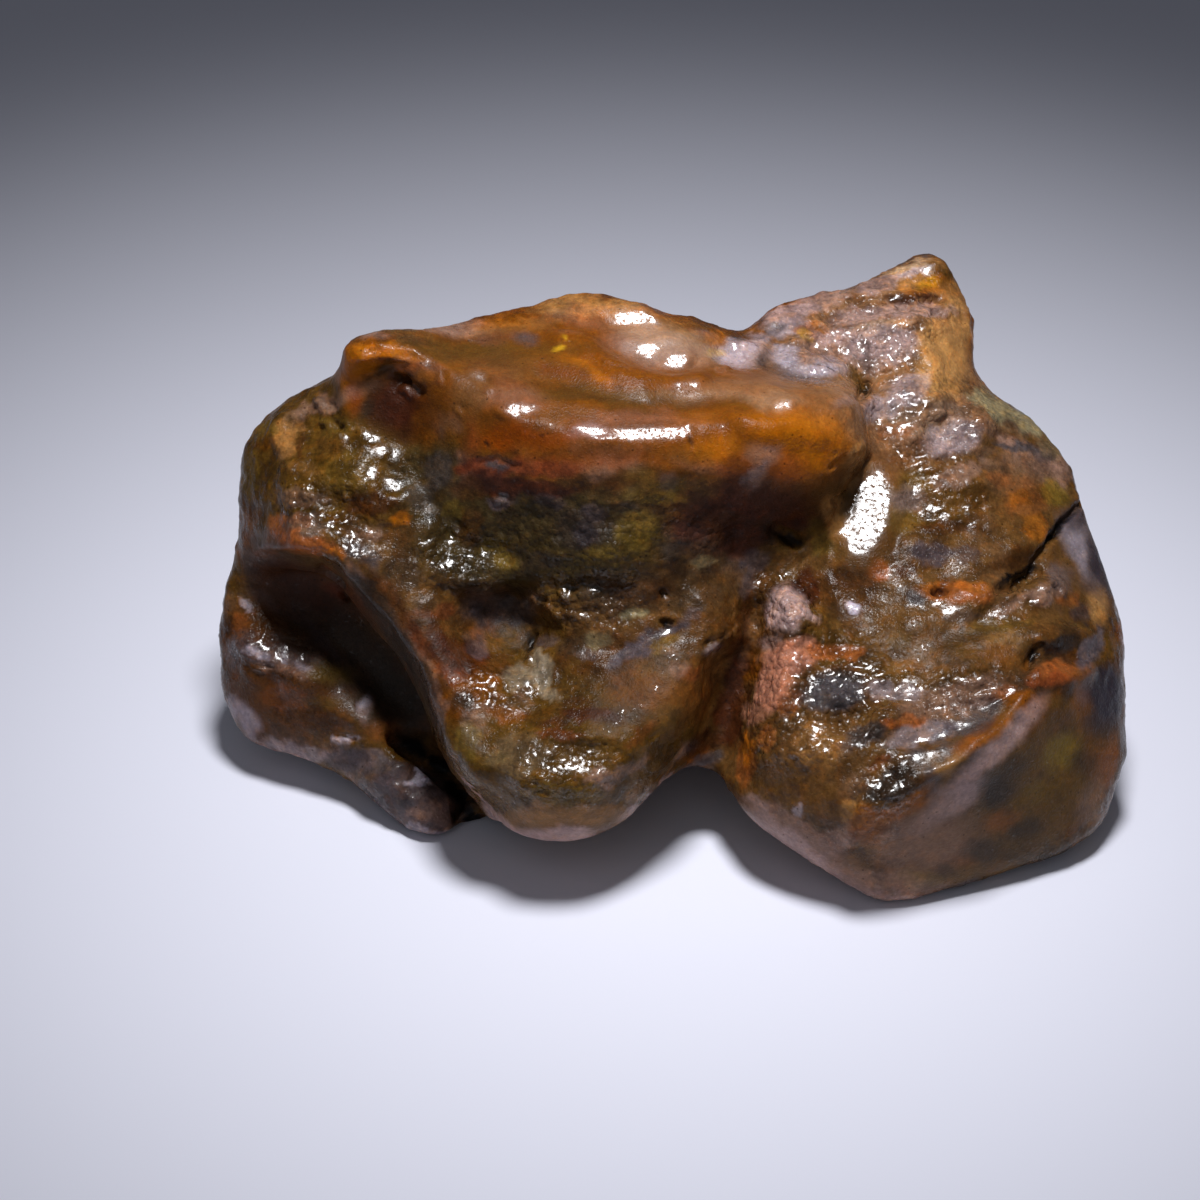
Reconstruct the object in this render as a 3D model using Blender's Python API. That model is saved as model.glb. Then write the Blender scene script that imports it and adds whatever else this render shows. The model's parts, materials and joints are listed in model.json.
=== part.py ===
"""A raw Gobi agate: one wind-polished lump of chalcedony, 39 mm long.

The stone lies on its broad side, +Z up.  Its origin is on the resting plane, under the middle
of its bounding box, and its long side runs along X.

The forms are placed on the stone's face, the broad weathered side that leans back from upright.
A place there is (across, up, out) in millimetres, from the middle of the face: across to the
right, up the slope and out of the surface.  build_stone models the stone in that frame, lays it
on the ground and cuts its feet flat.

Run it with: blender --background --python part.py
"""

import math
import random

import bmesh
import bpy
import numpy as np
from mathutils import Euler, Matrix, Vector
from mathutils.bvhtree import BVHTree

MM = 0.001

# Driving dimensions
FACE_LEAN = math.radians(55)  # how far the face leans back from upright
FACE_HEIGHT = 10.0  # the middle of the face, above the ground
SKIN_GRAIN = 0.26  # edge of the mesh that the forms are fused in
MOST_TRIANGLES = 9600
SMALLEST_EDGE = 0.005  # shorter edges, which the cut through the feet leaves, are merged

# How the two sides meet at the rim: the radius of the rounding follows the drop to the rim
LEAST_ROUNDING = 0.8
FACE_ROUNDING = 2.4
REAR_ROUNDING = 4.0

SURFACE_EASE = 0.5  # how softly a side passes over the places that it goes through
RIM_STEPS = 4  # points along each stretch of the rim
RINGS = 44  # from the rim to the middle of a side
BROAD_EASE = 5  # smoothing passes over the two sides
HOLLOW_EASE = 3  # smoothing passes over the hollows
TEXTURE_EASE = 1  # smoothing passes over lumps and pits

# The rim, clockwise from the nub at the upper left
RIM = {
    "nub": ((-14.1, 10.0, 1.0), (-13.4, 10.7, 0.4), (-11.8, 10.9, -0.2), (-10.1, 11.1, -1.0)),
    "back top": (
        (-8.4, 11.7, -2.0), (-6.7, 12.1, -2.6), (-5.5, 12.5, -3.2), (-4.2, 12.8, -3.6),
        (-2.8, 12.7, -3.8), (-1.5, 12.2, -3.8), (-0.2, 11.9, -4.0), (1.1, 11.8, -4.2),
    ),
    "dip": ((1.9, 11.5, -4.4), (2.7, 11.1, -4.8)),
    "horn ridge": ((3.5, 11.8, -5.2), (4.5, 12.6, -5.8), (6.8, 13.1, -6.6), (9.4, 14.2, -7.8)),
    "horn": (
        (10.4, 14.9, -8.2), (11.5, 15.3, -8.4), (12.2, 14.6, -8.2), (12.8, 13.3, -7.8),
        (13.3, 11.8, -7.2), (13.1, 10.1, -6.6), (13.5, 9.0, -6.2),
    ),
    "right top": ((14.3, 8.4, -6.0), (15.6, 7.5, -5.6), (16.7, 6.1, -5.0), (17.3, 5.0, -4.6)),
    "right": (
        (17.6, 3.5, -4.0), (18.3, 1.1, -3.0), (18.9, -1.3, -2.6), (19.2, -3.4, -2.2),
        (19.4, -5.1, -1.8), (19.1, -6.8, -1.6), (18.6, -8.0, -1.6),
    ),
    "right low": (
        (18.1, -9.5, -1.6), (17.3, -10.5, -1.2), (15.5, -11.3, -0.6), (13.3, -11.9, 0.0),
        (11.2, -12.5, 0.5), (9.3, -13.0, 1.0),
    ),
    "low": ((7.9, -12.8, 1.4), (6.4, -11.9, 1.6), (4.8, -10.9, 1.6), (3.2, -9.8, 1.4), (2.3, -8.9, 1.0)),
    "notch": ((1.8, -7.9, 0.0), (0.9, -7.4, -0.6), (-0.1, -7.5, 0.2)),
    "tongue": (
        (-1.0, -8.2, 1.4), (-1.7, -9.0, 1.9), (-2.6, -9.7, 2.2), (-3.7, -10.2, 2.3),
        (-5.0, -10.4, 2.3), (-6.3, -10.3, 2.2), (-7.4, -9.9, 1.9),
    ),
    "toe": ((-8.6, -10.1, -0.6), (-10.4, -10.5, -2.0), (-12.0, -10.0, -2.6), (-13.3, -8.9, -3.0)),
    "left low": (
        (-14.5, -8.0, -3.6), (-16.0, -7.4, -4.2), (-17.6, -7.0, -4.8), (-18.8, -6.6, -5.2),
        (-19.4, -5.7, -5.4),
    ),
    "left": (
        (-19.9, -4.4, -5.4), (-20.0, -2.8, -5.2), (-19.9, -1.1, -5.0), (-19.6, 0.4, -4.6),
        (-19.1, 1.6, -4.2), (-18.9, 3.0, -3.8), (-18.9, 4.8, -3.4), (-18.7, 6.1, -3.2),
    ),
    "left top": ((-18.1, 7.1, -3.2), (-17.0, 8.0, -3.2), (-15.8, 8.7, -3.0), (-14.6, 9.1, -2.2)),
}

# Ridges, banks and floors of the face
FACE = {
    "nub crest": ((-13.3, 9.5, 2.0), (-12.2, 9.8, 2.3), (-11.1, 9.6, 2.6), (-10.2, 9.2, 2.8)),
    "nub rim": ((-13.8, 8.4, 1.0), (-13.5, 7.6, 0.9), (-13.0, 7.0, 0.8)),
    "alcove": (
        (-12.4, 8.4, 0.0), (-11.5, 8.1, -0.3), (-11.7, 7.2, 0.1), (-11.4, 6.2, 0.6),
        (-10.4, 6.6, 1.2),
    ),
    "brow top": (
        (-9.9, 9.8, 0.9), (-7.4, 8.9, 2.4), (-5.0, 7.9, 3.2), (-1.7, 7.6, 3.5), (0.7, 7.8, 3.0),
        (3.6, 8.2, 2.2), (5.7, 8.0, 2.2),
    ),
    "brow light line": (
        (-8.6, 7.8, 3.4), (-6.9, 7.2, 4.0), (-4.9, 6.3, 4.5), (-2.3, 6.1, 4.6), (0.3, 6.4, 4.5),
        (2.4, 7.2, 4.0), (4.0, 7.5, 3.4),
    ),
    "brow crest": (
        (-8.9, 6.1, 3.0), (-6.5, 5.3, 4.2), (-4.5, 4.8, 4.7), (-1.7, 4.6, 4.9), (0.7, 4.5, 4.6),
        (3.1, 5.5, 4.3), (5.2, 6.1, 3.5), (6.5, 6.3, 2.6),
    ),
    "brow front": ((-8.4, 4.2, 2.2), (-6.6, 3.7, 2.9), (-4.8, 3.2, 3.3), (-1.7, 3.0, 3.3), (1.0, 3.0, 3.0)),
    "brow foot": ((-9.1, 3.2, 0.9), (-6.6, 2.0, 1.7), (-4.0, 1.5, 1.9), (-1.2, 1.5, 2.0), (1.6, 1.6, 1.7)),
    "brow right end": (
        (7.5, 7.2, 1.4), (7.8, 5.8, 0.9), (6.9, 4.9, 1.7), (5.7, 4.2, 2.2), (4.0, 4.0, 3.1),
        (3.0, 2.8, 2.2), (4.7, 3.0, 1.5),
    ),
    "lip": (
        (-5.4, 10.3, 0.3), (-3.7, 9.6, 1.4), (-1.7, 8.8, 2.2), (0.8, 8.6, 2.0), (3.3, 8.6, 1.4),
        (5.8, 8.5, 0.9), (7.1, 8.3, 0.2),
    ),
    "top dish": (
        (-3.0, 10.2, 0.1), (-1.5, 9.5, 0.4), (0.2, 9.3, 0.2), (-2.0, 10.9, -0.5), (-0.6, 10.4, -0.1),
        (0.8, 10.4, -0.8),
    ),
    "top bump": ((-8.3, 10.5, -0.4), (-5.9, 11.2, -1.2), (-4.2, 11.8, -2.0), (-2.5, 11.9, -2.2)),
    "behind brow": (
        (1.4, 10.1, -1.0), (2.6, 9.5, -1.6), (4.8, 9.3, -2.6), (6.9, 9.1, -2.8), (8.0, 8.4, -2.6),
    ),
    "horn ridge face": (
        (2.2, 10.2, -2.4), (4.0, 11.2, -3.8), (5.2, 10.4, -3.2), (6.6, 11.7, -4.4),
        (8.4, 12.4, -5.0), (8.7, 10.5, -3.6),
    ),
    "horn face": (
        (10.3, 13.4, -6.2), (11.4, 13.8, -6.8), (9.9, 11.7, -4.8), (11.7, 11.8, -5.4),
        (10.6, 9.9, -3.8), (12.0, 9.4, -4.4),
    ),
    "right slope": (
        (8.6, 8.1, -2.3), (10.5, 7.9, -2.4), (12.5, 7.7, -3.2), (9.5, 6.3, -1.5),
        (11.5, 6.1, -1.8), (13.7, 6.0, -2.6), (15.6, 5.2, -3.4),
    ),
    "crease": ((7.9, 6.9, -1.0), (8.3, 5.6, -1.3), (6.9, 4.1, 0.3), (5.9, 3.5, 0.7)),
    "window": ((8.7, 4.9, -1.2), (8.1, 3.8, -0.6), (7.8, 2.3, 0.2), (7.5, 1.2, 0.7), (9.1, 2.9, -0.2)),
    "right middle": (
        (10.5, 4.2, -0.8), (12.6, 3.8, -0.9), (14.8, 3.4, -1.6), (16.5, 3.0, -2.6),
        (10.4, 1.9, 0.3), (12.7, 1.7, 0.2), (15.1, 1.6, -0.6), (17.0, 1.3, -2.0),
    ),
    "right shelf": (
        (8.2, 0.0, 1.2), (10.7, -0.4, 1.4), (12.5, -0.7, 1.8), (14.4, -0.4, 1.3),
        (17.5, -0.6, -1.0),
    ),
    "right belly": (
        (7.0, -1.4, 1.4), (8.9, -2.1, 2.1), (11.3, -2.7, 2.7), (13.4, -2.7, 2.6),
        (14.7, -1.6, 1.8), (16.8, -2.1, 0.4),
    ),
    "pink knob": ((4.0, -0.3, 2.5), (4.4, -1.2, 2.9), (5.2, -1.8, 2.6), (6.5, -0.9, 0.9)),
    "grain band": (
        (3.8, -2.9, 2.6), (5.6, -2.9, 2.6), (7.5, -2.7, 2.3), (3.4, -4.5, 2.8), (2.7, -5.9, 2.6),
    ),
    "black grain": (
        (5.6, -4.3, 3.5), (7.2, -4.5, 3.5), (9.0, -4.3, 3.5), (11.2, -4.3, 3.5), (13.1, -4.1, 3.3),
    ),
    "right crest": (
        (3.6, -7.3, 3.3), (4.7, -6.1, 4.0), (6.7, -6.2, 4.4), (8.9, -6.2, 4.5),
        (11.1, -5.4, 4.2), (13.2, -4.9, 3.8),
    ),
    "right edge": (
        (4.7, -8.5, 4.0), (6.2, -9.0, 4.6), (7.3, -9.0, 5.2), (8.6, -8.2, 5.3), (10.4, -7.2, 5.1),
        (12.1, -6.5, 4.8), (13.2, -5.6, 4.3), (14.2, -4.6, 3.7), (15.9, -4.1, 2.7), (17.6, -3.1, 0.8),
    ),
    "low right facet": (
        (6.8, -10.8, 3.2), (8.9, -11.3, 2.8), (10.0, -9.5, 3.8), (11.4, -10.8, 2.3),
        (12.5, -8.5, 3.3), (14.6, -6.9, 2.8), (15.4, -5.3, 2.5), (14.3, -9.9, 1.7),
        (16.5, -8.3, 1.1), (17.4, -6.2, 0.7), (17.8, -4.6, 0.3),
    ),
    "valley": (
        (4.6, 1.9, 0.0), (3.8, 0.6, 0.5), (3.0, -0.8, 0.5), (2.8, -2.5, 0.6), (2.4, -3.9, 0.4),
        (2.0, -5.4, 0.2), (1.5, -6.7, 0.0),
    ),
    "left shoulder top": ((-17.6, 6.3, -1.2), (-16.5, 6.9, -0.6), (-15.0, 7.7, -0.2), (-13.9, 6.8, 0.6)),
    "left shoulder": (
        (-17.5, 4.2, -1.0), (-15.8, 5.0, 0.4), (-13.8, 4.5, 1.2), (-11.8, 4.5, 1.4),
        (-16.6, 2.9, 0.2), (-14.9, 2.7, 1.3), (-13.0, 2.7, 1.7), (-11.3, 2.9, 1.7),
    ),
    "under brow end": ((-10.1, 5.0, 1.0), (-9.9, 3.7, 1.2)),
    "shoulder edge": (
        (-18.1, 1.5, -2.0), (-16.5, 1.5, -0.4), (-14.7, 1.5, 0.8), (-13.5, 1.2, 1.5), (-12.8, 0.0, 1.9),
        (-11.7, -1.3, 2.3), (-10.6, -2.7, 2.7), (-10.0, -4.1, 2.9), (-9.7, -5.5, 3.0),
        (-9.4, -6.7, 3.0), (-8.7, -7.9, 3.0),
    ),
    "channel": (
        (-17.9, 0.4, -3.8), (-15.8, 0.2, -3.6), (-14.7, -0.8, -3.4), (-16.3, -1.1, -4.2),
        (-14.0, -2.6, -3.7), (-12.5, -3.2, -3.2), (-12.6, -4.6, -3.5), (-11.3, -5.2, -3.2),
        (-10.8, -6.4, -3.4),
    ),
    "channel bank": (
        (-18.6, -0.4, -3.6), (-17.6, -1.5, -3.0), (-15.9, -2.5, -2.5), (-14.4, -3.8, -2.2),
        (-13.1, -5.0, -2.0), (-12.1, -6.1, -1.9),
    ),
    "low left lobe": (
        (-18.6, -2.3, -3.2), (-17.0, -3.2, -2.3), (-18.4, -4.3, -3.4), (-16.5, -4.6, -2.2),
        (-14.6, -5.2, -2.0), (-17.3, -5.8, -3.2), (-15.1, -6.5, -2.7), (-13.3, -6.5, -2.0),
    ),
    "toe crest": (
        (-12.0, -7.0, -1.9), (-12.7, -8.1, -2.2), (-11.1, -7.8, -1.2), (-11.3, -8.8, -1.4),
        (-10.1, -9.4, -1.5),
    ),
    "toe cleft": ((-10.2, -7.4, -3.8), (-9.6, -8.4, -3.8), (-9.0, -9.3, -3.4)),
    "left middle": (
        (-11.5, 1.2, 1.8), (-9.9, 1.8, 1.6), (-10.3, -0.2, 2.0), (-11.3, -0.4, 2.3),
        (-9.9, -2.0, 2.6), (-8.8, -4.1, 3.1),
    ),
    "middle dish": (
        (-8.0, 1.0, 1.4), (-6.4, 0.2, 1.0), (-8.0, -0.8, 0.8), (-7.1, -2.0, 0.6), (-8.7, -2.1, 1.6),
    ),
    "dish bank": (
        (-4.4, 0.2, 2.2), (-2.9, -0.4, 2.5), (-4.9, -0.9, 2.2), (-4.9, -2.1, 2.5),
        (-2.5, -2.0, 2.9),
    ),
    "middle right": ((0.3, -0.4, 2.5), (2.0, -0.4, 2.1), (0.7, -2.0, 3.1), (1.9, -1.8, 2.7)),
    "crystal bank": ((-5.6, -3.1, 2.0), (-7.2, -3.9, 2.8), (-5.8, -4.5, 3.2)),
    "tongue back": ((-3.3, -3.7, 3.3), (-1.3, -3.7, 3.8), (0.3, -3.7, 3.7)),
    "tongue top": (
        (-8.4, -5.9, 3.6), (-6.6, -5.4, 3.9), (-4.1, -5.2, 4.3), (-1.7, -5.2, 4.4),
        (0.0, -5.3, 3.7),
    ),
    "tongue nose": (
        (-7.8, -7.5, 4.1), (-5.9, -7.5, 5.0), (-4.1, -7.0, 5.4), (-2.3, -6.7, 4.9),
        (-0.8, -6.4, 3.9),
    ),
    "tongue brow": ((-7.0, -8.6, 3.9), (-4.9, -8.8, 4.7), (-3.1, -8.5, 4.5), (-1.7, -7.7, 3.8)),
}

# Ridges, scoops and feet of the rear and the underside
REAR = {
    "rear crest": (
        (-15.0, 4.0, -8.0), (-10.0, 6.2, -10.4), (-4.0, 7.0, -12.6), (2.0, 5.6, -13.2),
        (7.0, 6.4, -12.2), (11.0, 4.6, -12.8),
    ),
    "upper hollow": ((-9.0, 9.2, -6.6), (-3.0, 10.0, -7.0), (2.0, 9.0, -8.4)),
    "horn rear": ((5.5, 10.8, -9.6), (9.0, 10.8, -10.8), (11.3, 12.6, -11.0)),
    "rear groove": (
        (-13.0, 1.5, -7.8), (-8.0, 2.4, -8.8), (-3.5, 3.2, -10.6), (1.0, 1.5, -10.8),
        (5.5, 2.2, -10.4), (10.0, 1.0, -9.8), (14.0, 1.5, -9.0),
    ),
    "rear shelf": (
        (-10.0, -1.0, -10.6), (-4.0, 0.0, -12.6), (1.0, -1.4, -13.2), (6.0, -1.4, -13.2),
        (11.0, -2.0, -11.2),
    ),
    "rear feet": (
        (-9.0, -3.6, -11.2), (-6.0, -4.0, -12.3), (-2.0, -4.0, -11.2), (2.5, -4.2, -11.0),
        (7.0, -4.3, -12.0), (10.0, -4.3, -10.8),
    ),
    "underside": (
        (0.0, -5.5, -7.2), (-3.0, -8.0, -3.4), (4.0, -8.5, -3.0), (0.5, -6.5, -3.0),
        (12.5, -4.6, -9.0), (14.0, -6.5, -6.6), (12.0, -8.0, -4.6), (6.0, -7.5, -5.6),
        (-12.0, -4.6, -9.0), (-11.5, -7.0, -6.4), (-14.5, -4.8, -8.0), (-7.5, -6.5, -6.8),
    ),
    "front feet": ((9.0, -11.5, -1.5), (-10.5, -9.0, -5.1)),
    "left end": ((-18.0, 0.0, -7.6), (-17.0, 5.0, -6.0)),
    "right end": ((17.0, 3.0, -8.0), (18.0, -3.0, -6.5), (17.0, -8.0, -4.0)),
}

# Hollows that undercut the face: the stations of a roll, each (across, up, out, radius)
HOLLOWS = {
    "nub cave": ((-11.9, 8.7, 0.4, 0.7), (-11.0, 9.0, 0.2, 0.9)),
    "deep hole": ((3.6, 2.5, 1.3, 0.5), (4.4, 1.9, 0.2, 0.9), (5.0, 1.4, 0.4, 0.6)),
    "channel undercut": (
        (-16.8, 0.5, -3.1, 0.7), (-14.8, 0.0, -2.6, 1.1), (-13.1, -1.6, -2.3, 1.2),
        (-11.6, -3.8, -2.2, 1.1), (-10.8, -5.6, -2.4, 0.9), (-10.0, -7.4, -2.6, 0.8), (-9.0, -9.2, -2.2, 0.7),
    ),
    "crystal pit": ((-6.3, -1.6, 1.5, 0.4), (-6.0, -2.2, 1.1, 0.5)),
    "slit": ((13.0, 0.3, 0.7, 0.35), (14.0, 0.6, 0.3, 0.5), (15.1, 1.0, -0.5, 0.45)),
    "eye": ((14.7, -3.2, 2.9, 0.4), (15.6, -2.6, 2.0, 0.7), (16.9, -2.5, 1.2, 0.5)),
    "red pit": ((10.6, -0.1, 1.7, 0.4), (10.9, -0.1, 1.3, 0.4)),
    "dark vein": ((17.6, 3.4, -3.0, 0.4), (16.6, 2.4, -2.0, 0.4), (15.6, 1.5, -0.8, 0.35)),
    "brow corner": (
        (8.2, 8.2, -1.4, 0.5), (8.0, 7.0, -0.4, 0.5), (8.3, 5.9, -0.3, 0.4), (7.3, 4.5, 0.8, 0.4),
    ),
    "knob moat": ((3.2, -0.6, 0.9, 0.5), (2.9, -2.3, 1.1, 0.5), (2.4, -4.2, 1.0, 0.6)),
}

# Rough ground: middle (across, up), half sizes, number of dabs, radius and height of one, and
# how many times longer than wide a dab is, along a direction in degrees
ROUGH_GROUND = {
    "horn rubble": ((8.0, 10.6), (4.2, 2.6), 34, 0.75, 0.32, 1.0, 0),
    "right slope": ((10.6, 6.4), (3.0, 3.0), 34, 0.7, 0.24, 1.4, 20),
    "right middle": ((12.6, 2.6), (3.4, 2.4), 26, 0.7, 0.2, 1.8, 15),
    "right shelf": ((12.4, -0.9), (3.6, 1.4), 20, 0.65, 0.22, 1.8, 25),
    "right belly": ((9.8, -4.2), (4.6, 2.0), 36, 0.6, 0.24, 1.8, 25),
    "right crest": ((8.6, -6.6), (4.2, 1.4), 24, 0.6, 0.22, 2.0, 28),
    "grain band": ((5.0, -4.4), (2.4, 3.2), 34, 0.55, 0.24, 1.0, 0),
    "left shoulder": ((-14.4, 4.2), (3.4, 3.0), 34, 0.75, 0.24, 1.3, -20),
    "left middle": ((-9.6, 1.2), (2.6, 2.2), 20, 0.7, 0.2, 1.2, 20),
    "middle": ((-2.4, 0.0), (3.6, 1.8), 22, 0.75, 0.2, 1.3, 10),
    "crystals": ((-6.8, -3.6), (1.6, 1.3), 14, 0.55, 0.24, 1.0, 0),
    "low left lobe": ((-16.6, -4.2), (2.4, 2.2), 16, 0.8, 0.22, 1.3, 0),
}
REAR_GROUND = {
    "swells": ((0.0, 2.0), (17.0, 10.0), 50, 2.6, 0.6, 1.3, 10),
    "dimples": ((0.0, 3.0), (15.0, 8.0), 70, 1.1, 0.25, 1.3, 10),
}


def settled(obj):
    """Make the object's modifiers part of its mesh."""
    graph = bpy.context.evaluated_depsgraph_get()
    mesh = bpy.data.meshes.new_from_object(obj.evaluated_get(graph))
    obj.modifiers.clear()
    obj.data = mesh


def ease(obj, passes):
    """Smooth the whole surface a little."""
    eased = obj.modifiers.new("ease", "SMOOTH")
    eased.factor = 0.5
    eased.iterations = passes


def fuse(obj, passes):
    """Draw one even skin over everything in the object, and smooth it."""
    skin = obj.modifiers.new("skin", "REMESH")
    skin.mode = "VOXEL"
    skin.voxel_size = SKIN_GRAIN * MM
    ease(obj, passes)
    settled(obj)


def new_object(name, form):
    """An object in the scene with the form as its mesh."""
    mesh = bpy.data.meshes.new(name)
    form.to_mesh(mesh)
    form.free()
    obj = bpy.data.objects.new(name, mesh)
    bpy.context.scene.collection.objects.link(obj)
    return obj


def places_of(lines):
    """The places of named lines, in one array."""
    return np.array([place for line in lines.values() for place in line])


def rounded_loop(places):
    """A smooth closed loop through the places."""
    before, after, beyond = (np.roll(places, shift, axis=0) for shift in (1, -1, -2))
    loop = []
    for part in np.arange(RIM_STEPS) / RIM_STEPS:
        loop.append(
            places
            + 0.5 * part * (after - before)
            + part**2 * (before - 2.5 * places + 2 * after - 0.5 * beyond)
            + part**3 * (1.5 * (places - after) + 0.5 * (beyond - before))
        )
    return np.stack(loop, axis=1).reshape(-1, 3)


def surface_through(lines):
    """A function that gives the out level of a soft surface through the lines."""
    places = places_of(lines)
    level = places[:, 2].mean()

    def reach(across, up):
        gaps = np.hypot(across[:, None] - places[:, 0], up[:, None] - places[:, 1])
        return np.hypot(gaps, SURFACE_EASE)

    pulls = np.linalg.solve(reach(places[:, 0], places[:, 1]), places[:, 2] - level)
    return lambda across, up: level + reach(across, up) @ pulls


def ring_of(rim, share, out_at, rounding):
    """The rim drawn in towards the middle of a side, and lifted onto its surface."""
    across, up = rim[:, 0] * share, rim[:, 1] * share
    gap = np.hypot(across[:, None] - rim[:, 0], up[:, None] - rim[:, 1]).min(axis=1)
    drop = out_at(across, up) - rim[:, 2]
    radius = np.clip(np.abs(drop), LEAST_ROUNDING, rounding)
    inward = 1 - np.minimum(gap / radius, 1)
    out = rim[:, 2] + drop * np.sqrt(1 - inward**2)
    return np.column_stack((across, up, out))


def add_side(form, rim, rim_verts, lines, rounding):
    """Bridge rings from the rim to the middle into one side of the stone."""
    out_at = surface_through(lines)
    loops = [rim_verts]
    for ring in range(1, RINGS):
        share = 1 - (ring / RINGS) ** 1.3
        places = ring_of(rim, share, out_at, rounding)
        loops.append([form.verts.new(Vector(place) * MM) for place in places])
    for outer, inner in zip(loops, loops[1:]):
        for at in range(-1, len(rim) - 1):
            form.faces.new((outer[at], outer[at + 1], inner[at + 1], inner[at]))
    form.faces.new(loops[-1])


def add_roll(form, stations):
    """A chain of balls between the stations (across, up, out, radius)."""
    for start, end in zip(stations, stations[1:]):
        span = math.dist(start[:3], end[:3])
        steps = math.ceil(span / (0.35 * min(start[3], end[3])))
        for step in range(steps + 1):
            *place, radius = (a + (b - a) * step / steps for a, b in zip(start, end))
            where = Matrix.Translation(Vector(place) * MM)
            bmesh.ops.create_icosphere(form, subdivisions=2, radius=radius * MM, matrix=where)


def hollow_out(stone):
    """Cut the hollows out of the face."""
    form = bmesh.new()
    for stations in HOLLOWS.values():
        add_roll(form, stations)
    cutter = new_object("hollows", form)
    fuse(cutter, 0)
    cut = stone.modifiers.new("hollows", "BOOLEAN")
    cut.operation = "DIFFERENCE"
    cut.object = cutter
    settled(stone)
    bpy.data.objects.remove(cutter)
    fuse(stone, HOLLOW_EASE)


def surface_place(tree, across, up, facing):
    """Where a line along the out direction meets the stone, seen from the given side."""
    start = Vector((across, up, 30 * facing)) * MM
    place, normal, _, _ = tree.ray_cast(start, Vector((0, 0, -facing)))
    return place, normal


def roughen(stone, grounds, facing, chance):
    """Press lumps and pits into rough ground, like a sculptor's dabs."""
    mesh = stone.data
    corners = [face.vertices for face in mesh.polygons]
    tree = BVHTree.FromPolygons([vert.co for vert in mesh.vertices], corners)
    spots = np.array([vert.co for vert in mesh.vertices])
    normals = np.array([vert.normal for vert in mesh.vertices])
    lift = np.zeros(len(spots))
    for middle, half, count, radius, height, stretch, degrees in grounds:
        turn = np.array(Euler((0, 0, math.radians(degrees))).to_matrix())
        for _ in range(count):
            angle = chance.uniform(0, math.tau)
            spread = math.sqrt(chance.random())
            across = middle[0] + half[0] * spread * math.cos(angle)
            up = middle[1] + half[1] * spread * math.sin(angle)
            place, normal = surface_place(tree, across, up, facing)
            if place is None:
                continue
            size = radius * chance.uniform(0.7, 1.3)
            gaps = ((spots - np.array(place)) @ turn) / (size * MM) / (stretch, 1, 1)
            near = np.clip(1 - (gaps**2).sum(axis=1), 0, 1) * (normals @ np.array(normal) > 0)
            lift += near**2 * height * chance.choice((1, 1, -1)) * MM
    mesh.vertices.foreach_set("co", (spots + normals * lift[:, None]).ravel())


def cut_feet(stone):
    """Cut off what lies below the ground, which leaves flat feet."""
    form = bmesh.new()
    form.from_mesh(stone.data)
    everything = form.verts[:] + form.edges[:] + form.faces[:]
    bmesh.ops.bisect_plane(form, geom=everything, plane_co=(0, 0, 0), plane_no=(0, 0, -1), clear_outer=True)
    bmesh.ops.holes_fill(form, edges=[edge for edge in form.edges if edge.is_boundary], sides=0)
    bmesh.ops.triangulate(form, faces=form.faces)
    bmesh.ops.remove_doubles(form, verts=form.verts, dist=SMALLEST_EDGE * MM)
    form.to_mesh(stone.data)
    form.free()


def thin_out(stone):
    """Merge the facets where the surface is even."""
    facets = sum(len(face.vertices) - 2 for face in stone.data.polygons)
    fewer = stone.modifiers.new("fewer facets", "DECIMATE")
    fewer.ratio = MOST_TRIANGLES / facets
    settled(stone)


def centre_origin(stone):
    """Move the stone so that the origin is under the middle of its box."""
    spots = np.array([vert.co for vert in stone.data.vertices])
    middle = (spots.min(axis=0) + spots.max(axis=0)) / 2
    stone.data.transform(Matrix.Translation((-middle[0], -middle[1], 0)))


def agate_material():
    material = bpy.data.materials.new("amber brown chalcedony")
    material.use_nodes = True
    shader = material.node_tree.nodes["Principled BSDF"]
    shader.inputs["Base Color"].default_value = (0.21, 0.11, 0.045, 1)
    shader.inputs["Roughness"].default_value = 0.25
    shader.inputs["Metallic"].default_value = 0
    return material


def build_stone():
    rim = rounded_loop(places_of(RIM))
    form = bmesh.new()
    rim_verts = [form.verts.new(Vector(place) * MM) for place in rim]
    add_side(form, rim, rim_verts, FACE, FACE_ROUNDING)
    add_side(form, rim, rim_verts, REAR, REAR_ROUNDING)
    bmesh.ops.recalc_face_normals(form, faces=form.faces)
    stone = new_object("agate", form)
    fuse(stone, BROAD_EASE)
    hollow_out(stone)
    roughen(stone, ROUGH_GROUND.values(), 1, random.Random(3))
    roughen(stone, REAR_GROUND.values(), -1, random.Random(5))
    ease(stone, TEXTURE_EASE)
    settled(stone)
    stone.data.transform(Matrix.Rotation(FACE_LEAN, 4, "X"))
    stone.data.transform(Matrix.Translation((0, 0, FACE_HEIGHT * MM)))
    thin_out(stone)
    cut_feet(stone)
    centre_origin(stone)
    stone.data.materials.append(agate_material())
    stone.data.shade_smooth()
    return stone


def main():
    for obj in list(bpy.data.objects):
        bpy.data.objects.remove(obj)
    build_stone()


if __name__ == "__main__":
    main()
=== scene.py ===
"""A raw Gobi agate: a wind-worn, glossy lump of chalcedony standing on a plain pale floor.

The stone's skin is a fine copy of its solid. It is smoothed, filled where its hollows are too deep,
carved along named lines, leaned to the light where it glitters, roughened where it is grainy,
polished flat where it is glassy, and coloured with patches of mineral, among them pale patches of
painted highlight and sheen and dark patches of painted shade.

A spot is a place read in a square frame of 1200 by 1200 from one fixed viewpoint, counted from its
top left corner. A name that ends in _mm is in millimetres, and Blender gets everything in metres.
"""

import json
import logging
import math
from dataclasses import dataclass
from enum import Enum

import bpy
import numpy as np
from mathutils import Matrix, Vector, noise
from mathutils.bvhtree import BVHTree

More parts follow.
